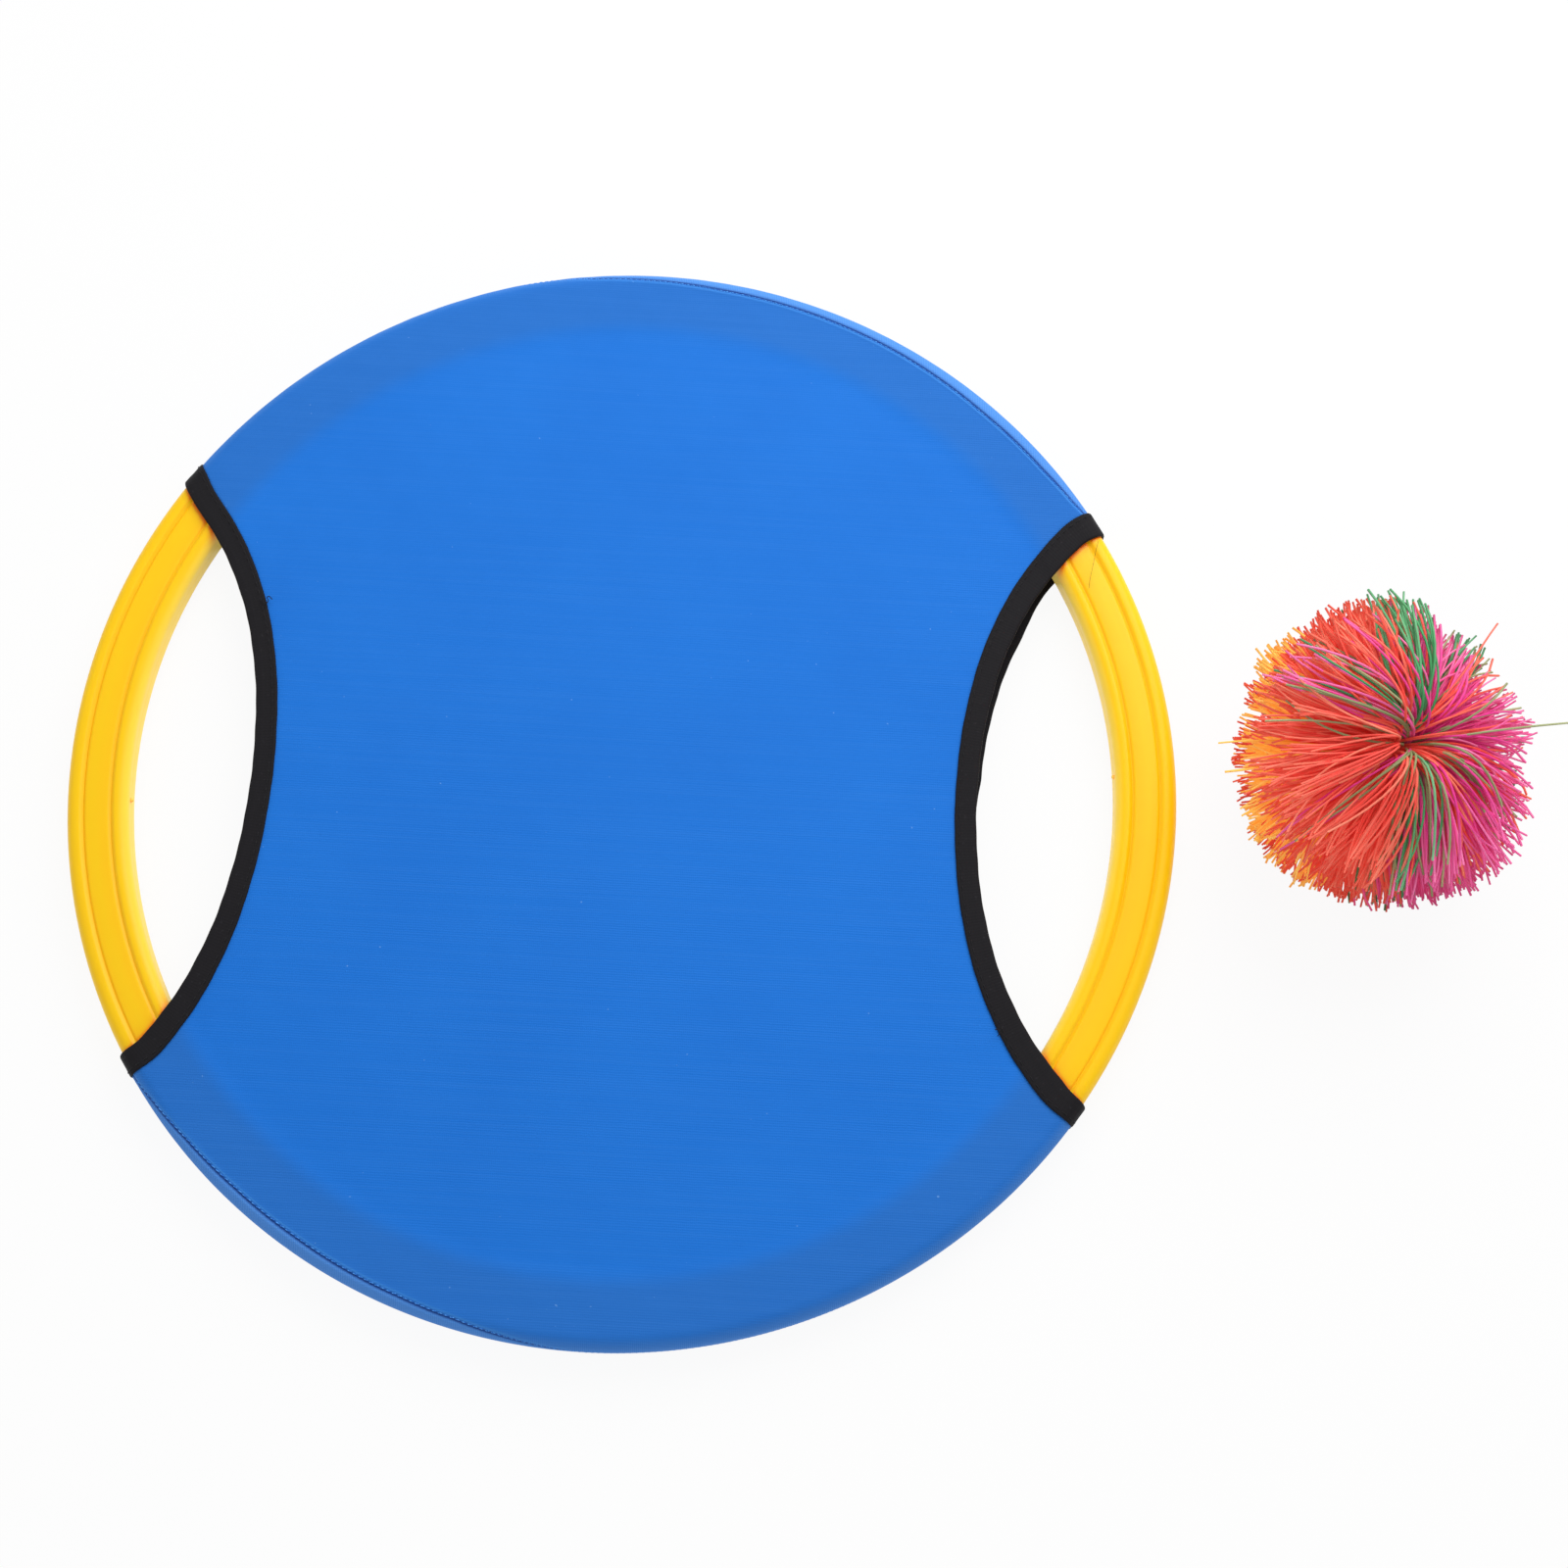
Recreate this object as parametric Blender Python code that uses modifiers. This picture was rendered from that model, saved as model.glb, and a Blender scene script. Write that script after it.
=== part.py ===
# Paddle catch ball set: a stretch cloth cover on a ribbed plastic hoop, and a rubber string ball.
# The paddle lies on its back, centred on the world's origin, with its hand holes along X.
# The ball rests on the same surface, beside the paddle on +X.

import math

import bmesh
import bpy
from mathutils import Vector

# Hoop: a flat ring with rounded edges and two grooves in each face
HOOP_OUTER_RADIUS = 0.1394
HOOP_RING_WIDTH = 0.0154
HOOP_THICKNESS = 0.0100
HOOP_EDGE_RADIUS = 0.0034
HOOP_GROOVE_WIDTH = 0.0016
HOOP_GROOVE_DEPTH = 0.0008
HOOP_GROOVE_MARGIN = 0.0006

# Cover: a front and a back panel that meet at a seam round the hoop's outer wall
CLOTH_THICKNESS = 0.0008
CLOTH_CLEARANCE = 0.0003
SEAM_GAP = 0.0003

# Hand holes: each free edge is an arc, bound with folded tape that goes on round the hoop
HOLE_DEPTH = 0.0481
HOLE_RADIUS = 0.1159
TAPE_WIDTH = 0.0053
TAPE_STAND = 0.0005
TAPE_EDGE_ROUND = 0.0003
TAPE_TURN = 0.0050
TAPE_CLEARANCE = 0.0003
TAPE_CREASE = math.radians(50)
CUTTER_MARGIN = 0.0100

# Sewing threads
THREAD_RADIUS = 0.00025
THREAD_CLEARANCE = 0.00015
SEAM_STITCH_PITCH = 0.0060
SEAM_STITCH_HEIGHT = 0.0020
SEAM_STITCH_START = 0.0025
TAPE_STITCH_INSET = 0.0012

# Ball: slit rubber sheets stacked along X, tied round their middles, strands springing both ways
BALL_RADIUS = 0.0370
BALL_GAP = 0.0082
BALL_OFFSET_Y = 0.0116
BALL_TILT_X = math.radians(6.9)
BALL_TILT_Y = math.radians(4.3)
BALL_FLAT = 0.0005
CORE_END_LENGTH = 0.0096
CORE_HEIGHT = 0.0080
CORE_SQUARENESS = 3
SHEET_PITCH = 0.0016
SHEET_CLEARANCE = 0.0003
STRAND_PITCH = 0.00093
STRAND_INSET = 0.00022
STRAND_RADIUS = 0.00050
STRAND_RISE = 0.0110
STRAND_RISE_LOSS = 0.75
STRAND_TAPER = 0.9
STRAND_POLE_LATITUDE = math.radians(56)
STRAND_WAIST_LATITUDE = math.radians(-4)
TIE_WIDTH = 0.0030
TIE_THICKNESS = 0.0012
TIE_CLEARANCE = 0.0003

# Counts
TURN_STEPS = 56
EDGE_STEPS = 3
TIE_STEPS = 28
TAPE_ARC_STEPS = 22
TAPE_TURN_STEPS = 9
TAPE_STITCH_POINTS = 34

# Sheets of the ball from left to right, with each sheet's colour
SHEET_COLOURS = (
    ("orange_sheet", "orange"),
    ("coral_sheet_outer", "coral"),
    ("coral_sheet_middle", "coral"),
    ("coral_sheet_inner", "coral"),
    ("green_sheet_inner", "green"),
    ("olive_sheet", "olive"),
    ("magenta_sheet_inner", "magenta"),
    ("magenta_sheet_middle", "magenta"),
    ("magenta_sheet_outer", "magenta"),
    ("green_sheet_outer", "green"),
)

# Colour (linear RGB), roughness and metallic value of each material
FINISHES = {
    "hoop_yellow": ((0.99, 0.63, 0.03), 0.30, 0.0),
    "cloth_blue": ((0.02, 0.19, 0.70), 0.80, 0.0),
    "tape_black": ((0.022, 0.020, 0.024), 0.75, 0.0),
    "thread_blue": ((0.03, 0.16, 0.52), 0.70, 0.0),
    "thread_black": ((0.03, 0.03, 0.03), 0.70, 0.0),
    "tie_grey": ((0.30, 0.30, 0.32), 0.50, 0.0),
    "orange": ((1.00, 0.38, 0.03), 0.45, 0.0),
    "coral": ((0.95, 0.08, 0.06), 0.45, 0.0),
    "green": ((0.05, 0.30, 0.11), 0.45, 0.0),
    "olive": ((0.28, 0.27, 0.12), 0.45, 0.0),
    "magenta": ((0.75, 0.03, 0.25), 0.45, 0.0),
}

# Heights that follow from the sizes: the back panel's outer face lies at zero
COVER_WALL = CLOTH_CLEARANCE + CLOTH_THICKNESS
MID_HEIGHT = COVER_WALL + HOOP_THICKNESS / 2
SKIN_FLAT = HOOP_OUTER_RADIUS - HOOP_EDGE_RADIUS
SKIN_CORNER = HOOP_EDGE_RADIUS * math.pi / 2
SKIN_END = SKIN_FLAT + SKIN_CORNER + HOOP_THICKNESS / 2 - HOOP_EDGE_RADIUS

# Places that follow from the sizes
HOLE_CENTRE = HOOP_OUTER_RADIUS - HOLE_DEPTH + HOLE_RADIUS
BALL_CENTRE_X = HOOP_OUTER_RADIUS + COVER_WALL + BALL_GAP + BALL_RADIUS
CORE_HALF_WIDTH = (len(SHEET_COLOURS) * SHEET_PITCH - SHEET_CLEARANCE) / 2
CORE_RADIUS = math.hypot(CORE_HALF_WIDTH, CORE_END_LENGTH / 2)


# Scene helpers

def clear_scene():
    for item in list(bpy.data.objects):
        bpy.data.objects.remove(item, do_unlink=True)


def make_collection(name):
    collection = bpy.data.collections.new(name)
    bpy.context.scene.collection.children.link(collection)
    return collection


def make_material(name):
    colour, roughness, metallic = FINISHES[name]
    material = bpy.data.materials.new(name)
    material.use_nodes = True
    shader = material.node_tree.nodes["Principled BSDF"]
    shader.inputs["Base Color"].default_value = (*colour, 1.0)
    shader.inputs["Roughness"].default_value = roughness
    shader.inputs["Metallic"].default_value = metallic
    material.diffuse_color = (*colour, 1.0)
    return material


def make_object(name, data, collection, material=None, parent=None):
    item = bpy.data.objects.new(name, data)
    collection.objects.link(item)
    if material is not None:
        data.materials.append(material)
    if parent is not None:
        item.parent = parent
    return item


def make_empty(name, collection, location):
    empty = bpy.data.objects.new(name, None)
    empty.location = location
    collection.objects.link(empty)
    return empty


def mesh_from(name, form):
    mesh = bpy.data.meshes.new(name)
    bmesh.ops.recalc_face_normals(form, faces=form.faces)
    form.to_mesh(mesh)
    form.free()
    return mesh


def profile_mesh(name, points, closed):
    mesh = bpy.data.meshes.new(name)
    edges = [(i, i + 1) for i in range(len(points) - 1)]
    if closed:
        edges.append((len(points) - 1, 0))
    mesh.from_pydata([(r, 0.0, z) for r, z in points], edges, [])
    return mesh


def add_turn(item, steps):
    turn = item.modifiers.new("turn", "SCREW")
    turn.axis = "Z"
    turn.angle = math.tau
    turn.steps = steps
    turn.render_steps = steps
    turn.use_merge_vertices = True
    turn.merge_threshold = 0.00001
    turn.use_smooth_shade = True


def add_cut(item, cutter):
    cut = item.modifiers.new("cut", "BOOLEAN")
    cut.operation = "DIFFERENCE"
    cut.solver = "EXACT"
    cut.object = cutter


def as_cutter(item):
    item.hide_render = True
    item.display_type = "WIRE"
    return item


# Hoop

def arc_points(centre_r, centre_z, radius, start, end, steps):
    angles = [start + (end - start) * i / steps for i in range(steps + 1)]
    return [(centre_r + radius * math.cos(a), centre_z + radius * math.sin(a)) for a in angles]


def groove_points(middle_r, face_z, side, outward):
    # Three points of a groove, from its outer lip to its inner lip, or back
    half = HOOP_GROOVE_WIDTH / 2
    floor_z = face_z - side * HOOP_GROOVE_DEPTH
    points = [(middle_r + half, face_z), (middle_r, floor_z), (middle_r - half, face_z)]
    return list(reversed(points)) if outward else points


def hoop_profile():
    # Down the outer side, in along the back face, up the inner side, out along the front face
    half = HOOP_THICKNESS / 2
    edge = HOOP_EDGE_RADIUS
    outer = HOOP_OUTER_RADIUS - edge
    inner = HOOP_OUTER_RADIUS - HOOP_RING_WIDTH + edge
    groove_inset = HOOP_GROOVE_MARGIN + HOOP_GROOVE_WIDTH / 2
    groove_outer = outer - groove_inset
    groove_inner = inner + groove_inset
    quarter = math.pi / 2
    points = arc_points(outer, half - edge, edge, quarter, 0, EDGE_STEPS)
    points += arc_points(outer, edge - half, edge, 0, -quarter, EDGE_STEPS)
    points += groove_points(groove_outer, -half, -1, False)
    points += groove_points(groove_inner, -half, -1, False)
    points += arc_points(inner, edge - half, edge, -quarter, -2 * quarter, EDGE_STEPS)
    points += arc_points(inner, half - edge, edge, 2 * quarter, quarter, EDGE_STEPS)
    points += groove_points(groove_inner, half, 1, True)
    points += groove_points(groove_outer, half, 1, True)
    return points


def make_hoop(parts, material, parent):
    hoop = make_object("hoop", profile_mesh("hoop", hoop_profile(), True), parts, material, parent)
    add_turn(hoop, TURN_STEPS)


# Places on the hoop's skin: a length along it from the middle of the paddle, and a height off it

def skin_place(along, off):
    # Radius, and height above the hoop's middle plane, on the front half
    past_flat = along - SKIN_FLAT
    if past_flat <= 0:
        return along, HOOP_THICKNESS / 2 + off
    if past_flat < SKIN_CORNER:
        bend = past_flat / HOOP_EDGE_RADIUS
        reach = HOOP_EDGE_RADIUS + off
        radius = SKIN_FLAT + reach * math.sin(bend)
        return radius, HOOP_THICKNESS / 2 - HOOP_EDGE_RADIUS + reach * math.cos(bend)
    return HOOP_OUTER_RADIUS + off, max(SKIN_END - along, 0.0)


def skin_point(flat_x, flat_y, off, side):
    # A point of the cover as if rolled out flat, put back on the hoop's front or back half
    along = min(math.hypot(flat_x, flat_y), SKIN_END)
    angle = math.atan2(flat_y, flat_x)
    radius, height = skin_place(along, off)
    return Vector((radius * math.cos(angle), radius * math.sin(angle), MID_HEIGHT + side * height))


# Cover panels

def panel_profile():
    # The cloth's inner face, from the middle out over the hoop's edge and down to the seam
    flat_z = HOOP_THICKNESS / 2 + CLOTH_CLEARANCE
    points = [(0.0, flat_z), (SKIN_FLAT, flat_z)]
    for i in range(1, EDGE_STEPS + 1):
        points.append(skin_place(SKIN_FLAT + SKIN_CORNER * i / EDGE_STEPS, CLOTH_CLEARANCE))
    points.append((HOOP_OUTER_RADIUS + CLOTH_CLEARANCE, SEAM_GAP / 2))
    return points


def make_panel(name, side, parts, material, cutters):
    points = [(r, side * z) for r, z in panel_profile()]
    if side < 0:
        points.reverse()
    panel = make_object(name, profile_mesh(name, points, False), parts, material)
    panel.location = (0.0, 0.0, MID_HEIGHT)
    add_turn(panel, TURN_STEPS)
    wall = panel.modifiers.new("wall", "SOLIDIFY")
    wall.thickness = CLOTH_THICKNESS
    wall.offset = 1.0
    wall.use_even_offset = True
    for cutter in cutters:
        add_cut(panel, cutter)


# Tape round each hand hole

def arc_angle(radius, distance):
    # Angle along an arc about the hole's centre at which it lies this far from the paddle's middle
    cosine = (HOLE_CENTRE ** 2 + radius ** 2 - distance ** 2) / (2 * HOLE_CENTRE * radius)
    return math.acos(cosine)


def arc_point(radius, angle):
    return Vector((HOLE_CENTRE - radius * math.cos(angle), radius * math.sin(angle)))


def tape_middle_line():
    # Half of the loop, from the waist to the seam, with its direction at each point: an arc over
    # the cloth and then a turn that brings the tape square to the rim. Flat, on the +X side.
    radius = HOLE_RADIUS + TAPE_WIDTH / 2
    leave = arc_angle(radius, SKIN_FLAT - TAPE_TURN)
    outward = arc_point(radius, arc_angle(radius, HOOP_OUTER_RADIUS)).normalized()
    line = []
    for i in range(TAPE_ARC_STEPS // 2 + 1):
        angle = leave * i / (TAPE_ARC_STEPS // 2)
        line.append((arc_point(radius, angle), Vector((math.sin(angle), math.cos(angle)))))
    start, heading = line[-1]
    finish = outward * SKIN_END
    handle = (finish - start).length / 3
    bezier = (start, start + heading * handle, finish - outward * handle, finish)
    for i in range(1, TAPE_TURN_STEPS + 1):
        t = i / TAPE_TURN_STEPS
        u = 1 - t
        point = (bezier[0] * u ** 3 + bezier[1] * (3 * u * u * t)
                 + bezier[2] * (3 * u * t * t) + bezier[3] * t ** 3)
        slope = ((bezier[1] - bezier[0]) * (u * u) + (bezier[2] - bezier[1]) * (2 * u * t)
                 + (bezier[3] - bezier[2]) * (t * t))
        line.append((point, slope.normalized()))
    return line


def tape_loop():
    # Stations round the whole loop: flat point, flat direction across the tape towards the cloth,
    # and 1 on the hoop's front half or -1 on its back half
    stations = [(point, Vector((-heading.y, heading.x))) for point, heading in tape_middle_line()]
    lower = [(Vector((p.x, -p.y)), Vector((a.x, -a.y))) for p, a in stations[1:]]
    front = list(reversed(lower)) + stations
    loop = [(p, a, 1) for p, a in front]
    loop += [(p, a, -1) for p, a in reversed(front[1:-1])]
    return loop


def tape_off(point, side):
    # The tape stands proud of the cloth on the front, and lies level with it on the back
    along = min(point.length, SKIN_END)
    height = skin_place(along, 0.0)[1] * side / (HOOP_THICKNESS / 2)
    return COVER_WALL + TAPE_STAND * (1 + height) / 2


def make_tape(name, mirror, parts, material):
    form = bmesh.new()
    rings = []
    half = TAPE_WIDTH / 2
    for point, across, side in tape_loop():
        top = tape_off(point, side)
        shape = ((-half, CLOTH_CLEARANCE), (-half, top - TAPE_EDGE_ROUND),
                 (-half + TAPE_EDGE_ROUND, top), (half - TAPE_EDGE_ROUND, top),
                 (half, top - TAPE_EDGE_ROUND), (half, CLOTH_CLEARANCE))
        ring = []
        for over, off in shape:
            flat = point + across * over
            place = skin_point(flat.x, flat.y, off, side)
            ring.append(form.verts.new((mirror * place.x, place.y, place.z)))
        rings.append(ring)
    count = len(shape)
    for i, ring in enumerate(rings):
        following = rings[(i + 1) % len(rings)]
        for j in range(count):
            k = (j + 1) % count
            form.faces.new((ring[j], ring[k], following[k], following[j]))
    tape = make_object(name, mesh_from(name, form), parts, material)
    tape.data.shade_smooth()
    tape.data.set_sharp_from_angle(angle=TAPE_CREASE)


def make_hole_cutter(name, mirror, cutters):
    # A prism whose near side runs along the tape's cloth side, with the clearance between them
    gap = TAPE_WIDTH / 2 + TAPE_CLEARANCE
    upper = []
    for point, heading in tape_middle_line():
        across = Vector((-heading.y, heading.x))
        flat = point + across * gap
        angle = math.atan2(flat.y, flat.x)
        radius = skin_place(min(flat.length, SKIN_END), 0.0)[0]
        upper.append(Vector((radius * math.cos(angle), radius * math.sin(angle))))
    upper.append(upper[-1].normalized() * (HOOP_OUTER_RADIUS + CUTTER_MARGIN))
    upper.append(Vector((HOOP_OUTER_RADIUS + CUTTER_MARGIN, upper[-1].y)))
    outline = [Vector((p.x, -p.y)) for p in reversed(upper[1:])] + upper
    form = bmesh.new()
    base = form.faces.new([form.verts.new((mirror * p.x, p.y, -CUTTER_MARGIN)) for p in outline])
    raised = bmesh.ops.extrude_face_region(form, geom=[base])
    lifted = [v for v in raised["geom"] if isinstance(v, bmesh.types.BMVert)]
    bmesh.ops.translate(form, vec=(0.0, 0.0, 2 * (MID_HEIGHT + CUTTER_MARGIN)), verts=lifted)
    return as_cutter(make_object(name, mesh_from(name, form), cutters))


# Sewing threads

def make_thread(name, points, parts, material):
    curve = bpy.data.curves.new(name, "CURVE")
    curve.dimensions = "3D"
    curve.bevel_depth = THREAD_RADIUS
    curve.bevel_resolution = 0
    curve.use_fill_caps = True
    spline = curve.splines.new("POLY")
    spline.points.add(len(points) - 1)
    for spot, place in zip(spline.points, points):
        spot.co = (*place, 1.0)
    return make_object(name, curve, parts, material)


def seam_thread_points(side_y):
    # A zigzag across the seam, between the two tapes
    radius = HOOP_OUTER_RADIUS + COVER_WALL + THREAD_CLEARANCE + THREAD_RADIUS
    end = tape_middle_line()[-1][0]
    start_angle = math.atan2(end.y, end.x) + (TAPE_WIDTH / 2 + SEAM_STITCH_START) / radius
    span = math.pi - 2 * start_angle
    stitches = max(round(span * radius / SEAM_STITCH_PITCH), 2)
    points = []
    for i in range(2 * stitches + 1):
        angle = start_angle + span * i / (2 * stitches)
        height = SEAM_STITCH_HEIGHT / 2 * (1 if i % 2 else -1)
        points.append(Vector((radius * math.cos(angle), side_y * radius * math.sin(angle),
                              MID_HEIGHT + height)))
    return points


def tape_thread_points(mirror):
    # A line of stitching along the tape's cloth side, over its arc on the front
    radius = HOLE_RADIUS + TAPE_WIDTH - TAPE_STITCH_INSET
    limit = arc_angle(radius, SKIN_FLAT - TAPE_TURN)
    height = 2 * MID_HEIGHT + TAPE_STAND + THREAD_CLEARANCE + THREAD_RADIUS
    points = []
    for i in range(TAPE_STITCH_POINTS):
        spot = arc_point(radius, limit * (2 * i / (TAPE_STITCH_POINTS - 1) - 1))
        points.append(Vector((mirror * spot.x, spot.y, height)))
    return points


# Ball

def core_half_length(across):
    # Half of a sheet's length, where its far face lies this far across the stack
    return math.sqrt(CORE_RADIUS ** 2 - across ** 2)


def core_spread(x, y):
    # Nothing at the core's middle, one at the rim of its sides, a little more at its corners
    power = CORE_SQUARENESS
    return ((abs(x) / CORE_HALF_WIDTH) ** power + (abs(y) / CORE_RADIUS) ** power) ** (1 / power)


def strand_path(root, up):
    # Root, bend and tip of one strand: it leaves along the tie's axis and falls outwards, in one
    # plane with that axis. Strands from the core's middle end near the pole, those from its rim
    # near the waist, and evenly in height between them.
    out = core_spread(root.x, root.y) / core_spread(CORE_HALF_WIDTH, CORE_END_LENGTH / 2)
    pole = math.sin(STRAND_POLE_LATITUDE)
    waist = math.sin(STRAND_WAIST_LATITUDE)
    rise = pole + (waist - pole) * out ** 2
    bearing = Vector((root.x, root.y, 0.0)).normalized()
    tip = (bearing * math.sqrt(1 - rise ** 2) + Vector((0.0, 0.0, up * rise))) * BALL_RADIUS
    lead = root + Vector((0.0, 0.0, up * STRAND_RISE * (1 - STRAND_RISE_LOSS * out)))
    bend = (root + 2 * lead + tip) / 4
    return root, bend, tip


def grow_strand(form, face, up):
    # Carries a face of the sheet's end along its strand's path, square to each of its two stretches
    path = strand_path(face.calc_center_median(), up)
    normal = face.normal.copy()
    for here, following, scale in ((path[0], path[1], 1.0), (path[1], path[2], STRAND_TAPER)):
        grown = bmesh.ops.extrude_discrete_faces(form, faces=[face])["faces"][0]
        heading = (following - here).normalized()
        turn = normal.rotation_difference(heading)
        corners = [v.co - here for v in grown.verts]
        widest = max(c.length for c in corners)
        size = STRAND_RADIUS / widest * scale
        for corner, offset in zip(grown.verts, corners):
            corner.co = following + turn @ offset * size
        normal = heading
        face = grown


def make_sheet(name, index, parts, material, parent, floor_cutter):
    # One slit sheet: a slice of the round core, with a row of strands from each of its two ends
    count = len(SHEET_COLOURS)
    middle_x = (index - (count - 1) / 2) * SHEET_PITCH
    half_x = (SHEET_PITCH - SHEET_CLEARANCE) / 2
    half_y = core_half_length(abs(middle_x) + half_x)
    half_z = CORE_HEIGHT / 2
    columns = max(round(half_y / STRAND_PITCH), 2)
    form = bmesh.new()
    bmesh.ops.create_cube(form, size=1.0)
    bmesh.ops.scale(form, vec=(2 * half_x, 2 * half_y, 2 * half_z), verts=form.verts)
    bmesh.ops.translate(form, vec=(middle_x, 0.0, 0.0), verts=form.verts)
    long_edges = [e for e in form.edges
                  if abs(e.verts[0].co.y - e.verts[1].co.y) > half_y and abs(e.verts[0].co.z) > 0]
    bmesh.ops.subdivide_edges(form, edges=long_edges, cuts=columns - 1)
    form.normal_update()
    ends = [f for f in form.faces if abs(f.normal.z) > 0.9]
    bmesh.ops.triangulate(form, faces=ends)
    form.normal_update()
    ends = [f for f in form.faces if abs(f.normal.z) > 0.9]
    bmesh.ops.inset_individual(form, faces=ends, thickness=STRAND_INSET, use_even_offset=True)
    form.normal_update()
    for face in ends:
        grow_strand(form, face, 1 if face.normal.z > 0 else -1)
    sheet = make_object(name, mesh_from(name, form), parts, material, parent)
    sheet.rotation_euler = (BALL_TILT_X, BALL_TILT_Y, 0.0)
    add_cut(sheet, floor_cutter)
    return sheet


def make_tie(parts, material, parent):
    # A flat band round the stack's middle
    inner = CORE_RADIUS + TIE_CLEARANCE
    outer = inner + TIE_THICKNESS
    half = TIE_WIDTH / 2
    points = [(outer, half), (outer, -half), (inner, -half), (inner, half)]
    tie = make_object("ball_tie", profile_mesh("ball_tie", points, True), parts, material, parent)
    tie.rotation_euler = (BALL_TILT_X, BALL_TILT_Y, 0.0)
    add_turn(tie, TIE_STEPS)


def rest_height(sheets):
    # How high the ball's centre lies with its lowest strand ends cut level on the surface
    lowest = 0.0
    for sheet in sheets:
        turned = sheet.rotation_euler.to_matrix()
        lowest = min(lowest, min((turned @ spot.co).z for spot in sheet.data.vertices))
    return -lowest - BALL_FLAT


def make_floor_cutter(cutters):
    form = bmesh.new()
    bmesh.ops.create_cube(form, size=1.0)
    side = 4 * BALL_RADIUS
    bmesh.ops.scale(form, vec=(side, side, side), verts=form.verts)
    cutter = as_cutter(make_object("floor_cutter", mesh_from("floor_cutter", form), cutters))
    cutter.location = (BALL_CENTRE_X, BALL_OFFSET_Y, -side / 2)
    return cutter


def build():
    clear_scene()
    parts = make_collection("paddle_catch_ball_set")
    cutters = make_collection("cutters")
    finishes = {name: make_material(name) for name in FINISHES}

    hoop_axis = make_empty("hoop_axis", parts, (0.0, 0.0, MID_HEIGHT))
    make_hoop(parts, finishes["hoop_yellow"], hoop_axis)

    holes = [make_hole_cutter("left_hole", -1, cutters), make_hole_cutter("right_hole", 1, cutters)]
    make_panel("front_panel", 1, parts, finishes["cloth_blue"], holes)
    make_panel("back_panel", -1, parts, finishes["cloth_blue"], holes)
    for name, mirror in (("left", -1), ("right", 1)):
        make_tape(name + "_binding", mirror, parts, finishes["tape_black"])
        make_thread(name + "_binding_thread", tape_thread_points(mirror), parts,
                    finishes["thread_black"])
    make_thread("top_seam_thread", seam_thread_points(1), parts, finishes["thread_blue"])
    make_thread("bottom_seam_thread", seam_thread_points(-1), parts, finishes["thread_blue"])

    ball = make_empty("ball_centre", parts, (BALL_CENTRE_X, BALL_OFFSET_Y, 0.0))
    floor_cutter = make_floor_cutter(cutters)
    make_tie(parts, finishes["tie_grey"], ball)
    sheets = [make_sheet(name, index, parts, finishes[colour], ball, floor_cutter)
              for index, (name, colour) in enumerate(SHEET_COLOURS)]
    ball.location.z = rest_height(sheets)


build()
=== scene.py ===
# Paddle catch ball set: the looks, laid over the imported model.
# Everything is in metres, in the model's own frame: the paddle's middle at the origin, its back at z = 0.
import math

import bpy
import numpy as np
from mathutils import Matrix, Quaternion, Vector


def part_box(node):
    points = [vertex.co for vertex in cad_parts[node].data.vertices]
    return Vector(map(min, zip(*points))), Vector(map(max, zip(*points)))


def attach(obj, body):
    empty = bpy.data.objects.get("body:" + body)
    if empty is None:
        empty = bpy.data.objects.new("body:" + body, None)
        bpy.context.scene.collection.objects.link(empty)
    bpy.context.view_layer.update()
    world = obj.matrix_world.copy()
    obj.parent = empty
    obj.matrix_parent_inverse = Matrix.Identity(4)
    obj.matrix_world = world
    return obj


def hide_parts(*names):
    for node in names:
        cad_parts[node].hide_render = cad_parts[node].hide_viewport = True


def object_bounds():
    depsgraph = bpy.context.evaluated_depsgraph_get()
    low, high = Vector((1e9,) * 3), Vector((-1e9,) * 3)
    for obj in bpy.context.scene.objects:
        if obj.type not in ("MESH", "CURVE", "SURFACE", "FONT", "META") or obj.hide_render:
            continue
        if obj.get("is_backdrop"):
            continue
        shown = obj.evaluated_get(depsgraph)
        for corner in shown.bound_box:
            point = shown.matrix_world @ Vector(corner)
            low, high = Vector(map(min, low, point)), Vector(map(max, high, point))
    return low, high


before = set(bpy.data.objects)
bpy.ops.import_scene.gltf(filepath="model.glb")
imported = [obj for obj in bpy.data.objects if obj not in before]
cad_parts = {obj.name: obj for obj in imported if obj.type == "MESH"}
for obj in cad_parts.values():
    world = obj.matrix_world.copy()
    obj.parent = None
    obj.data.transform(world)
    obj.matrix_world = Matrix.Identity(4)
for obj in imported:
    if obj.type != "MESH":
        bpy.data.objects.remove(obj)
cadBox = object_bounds()
scene = bpy.context.scene
print("frame loaded:", len(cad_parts), "nodes")


# camera

lens = {
    "place": (0.0436, -0.1592, 0.6134),
    "target": (0.04036, 0.00429, 0.0),
    "roll": 1.951,  # degrees
    "focal": 57.0,
    "sensor": 36.0,
}


def addObject(name, data):
    item = bpy.data.objects.new(name, data)
    scene.collection.objects.link(item)
    return item


def aimed(name, data, place, target, roll=0.0):
    # a camera or lamp whose own -z runs from place to target, rolled about that by degrees
    item = addObject(name, data)
    item.location = place
    turn = (Vector(place) - Vector(target)).to_track_quat("Z", "Y")
    item.rotation_euler = (turn @ Quaternion((0, 0, 1), math.radians(roll))).to_euler()
    return item


optics = bpy.data.cameras.new("camera")
optics.lens = lens["focal"]
optics.sensor_width = lens["sensor"]
optics.sensor_fit = "HORIZONTAL"
optics.clip_start = 0.01
optics.clip_end = 20.0
scene.camera = aimed("camera", optics, lens["place"], lens["target"], lens["roll"])


# shader arithmetic

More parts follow.
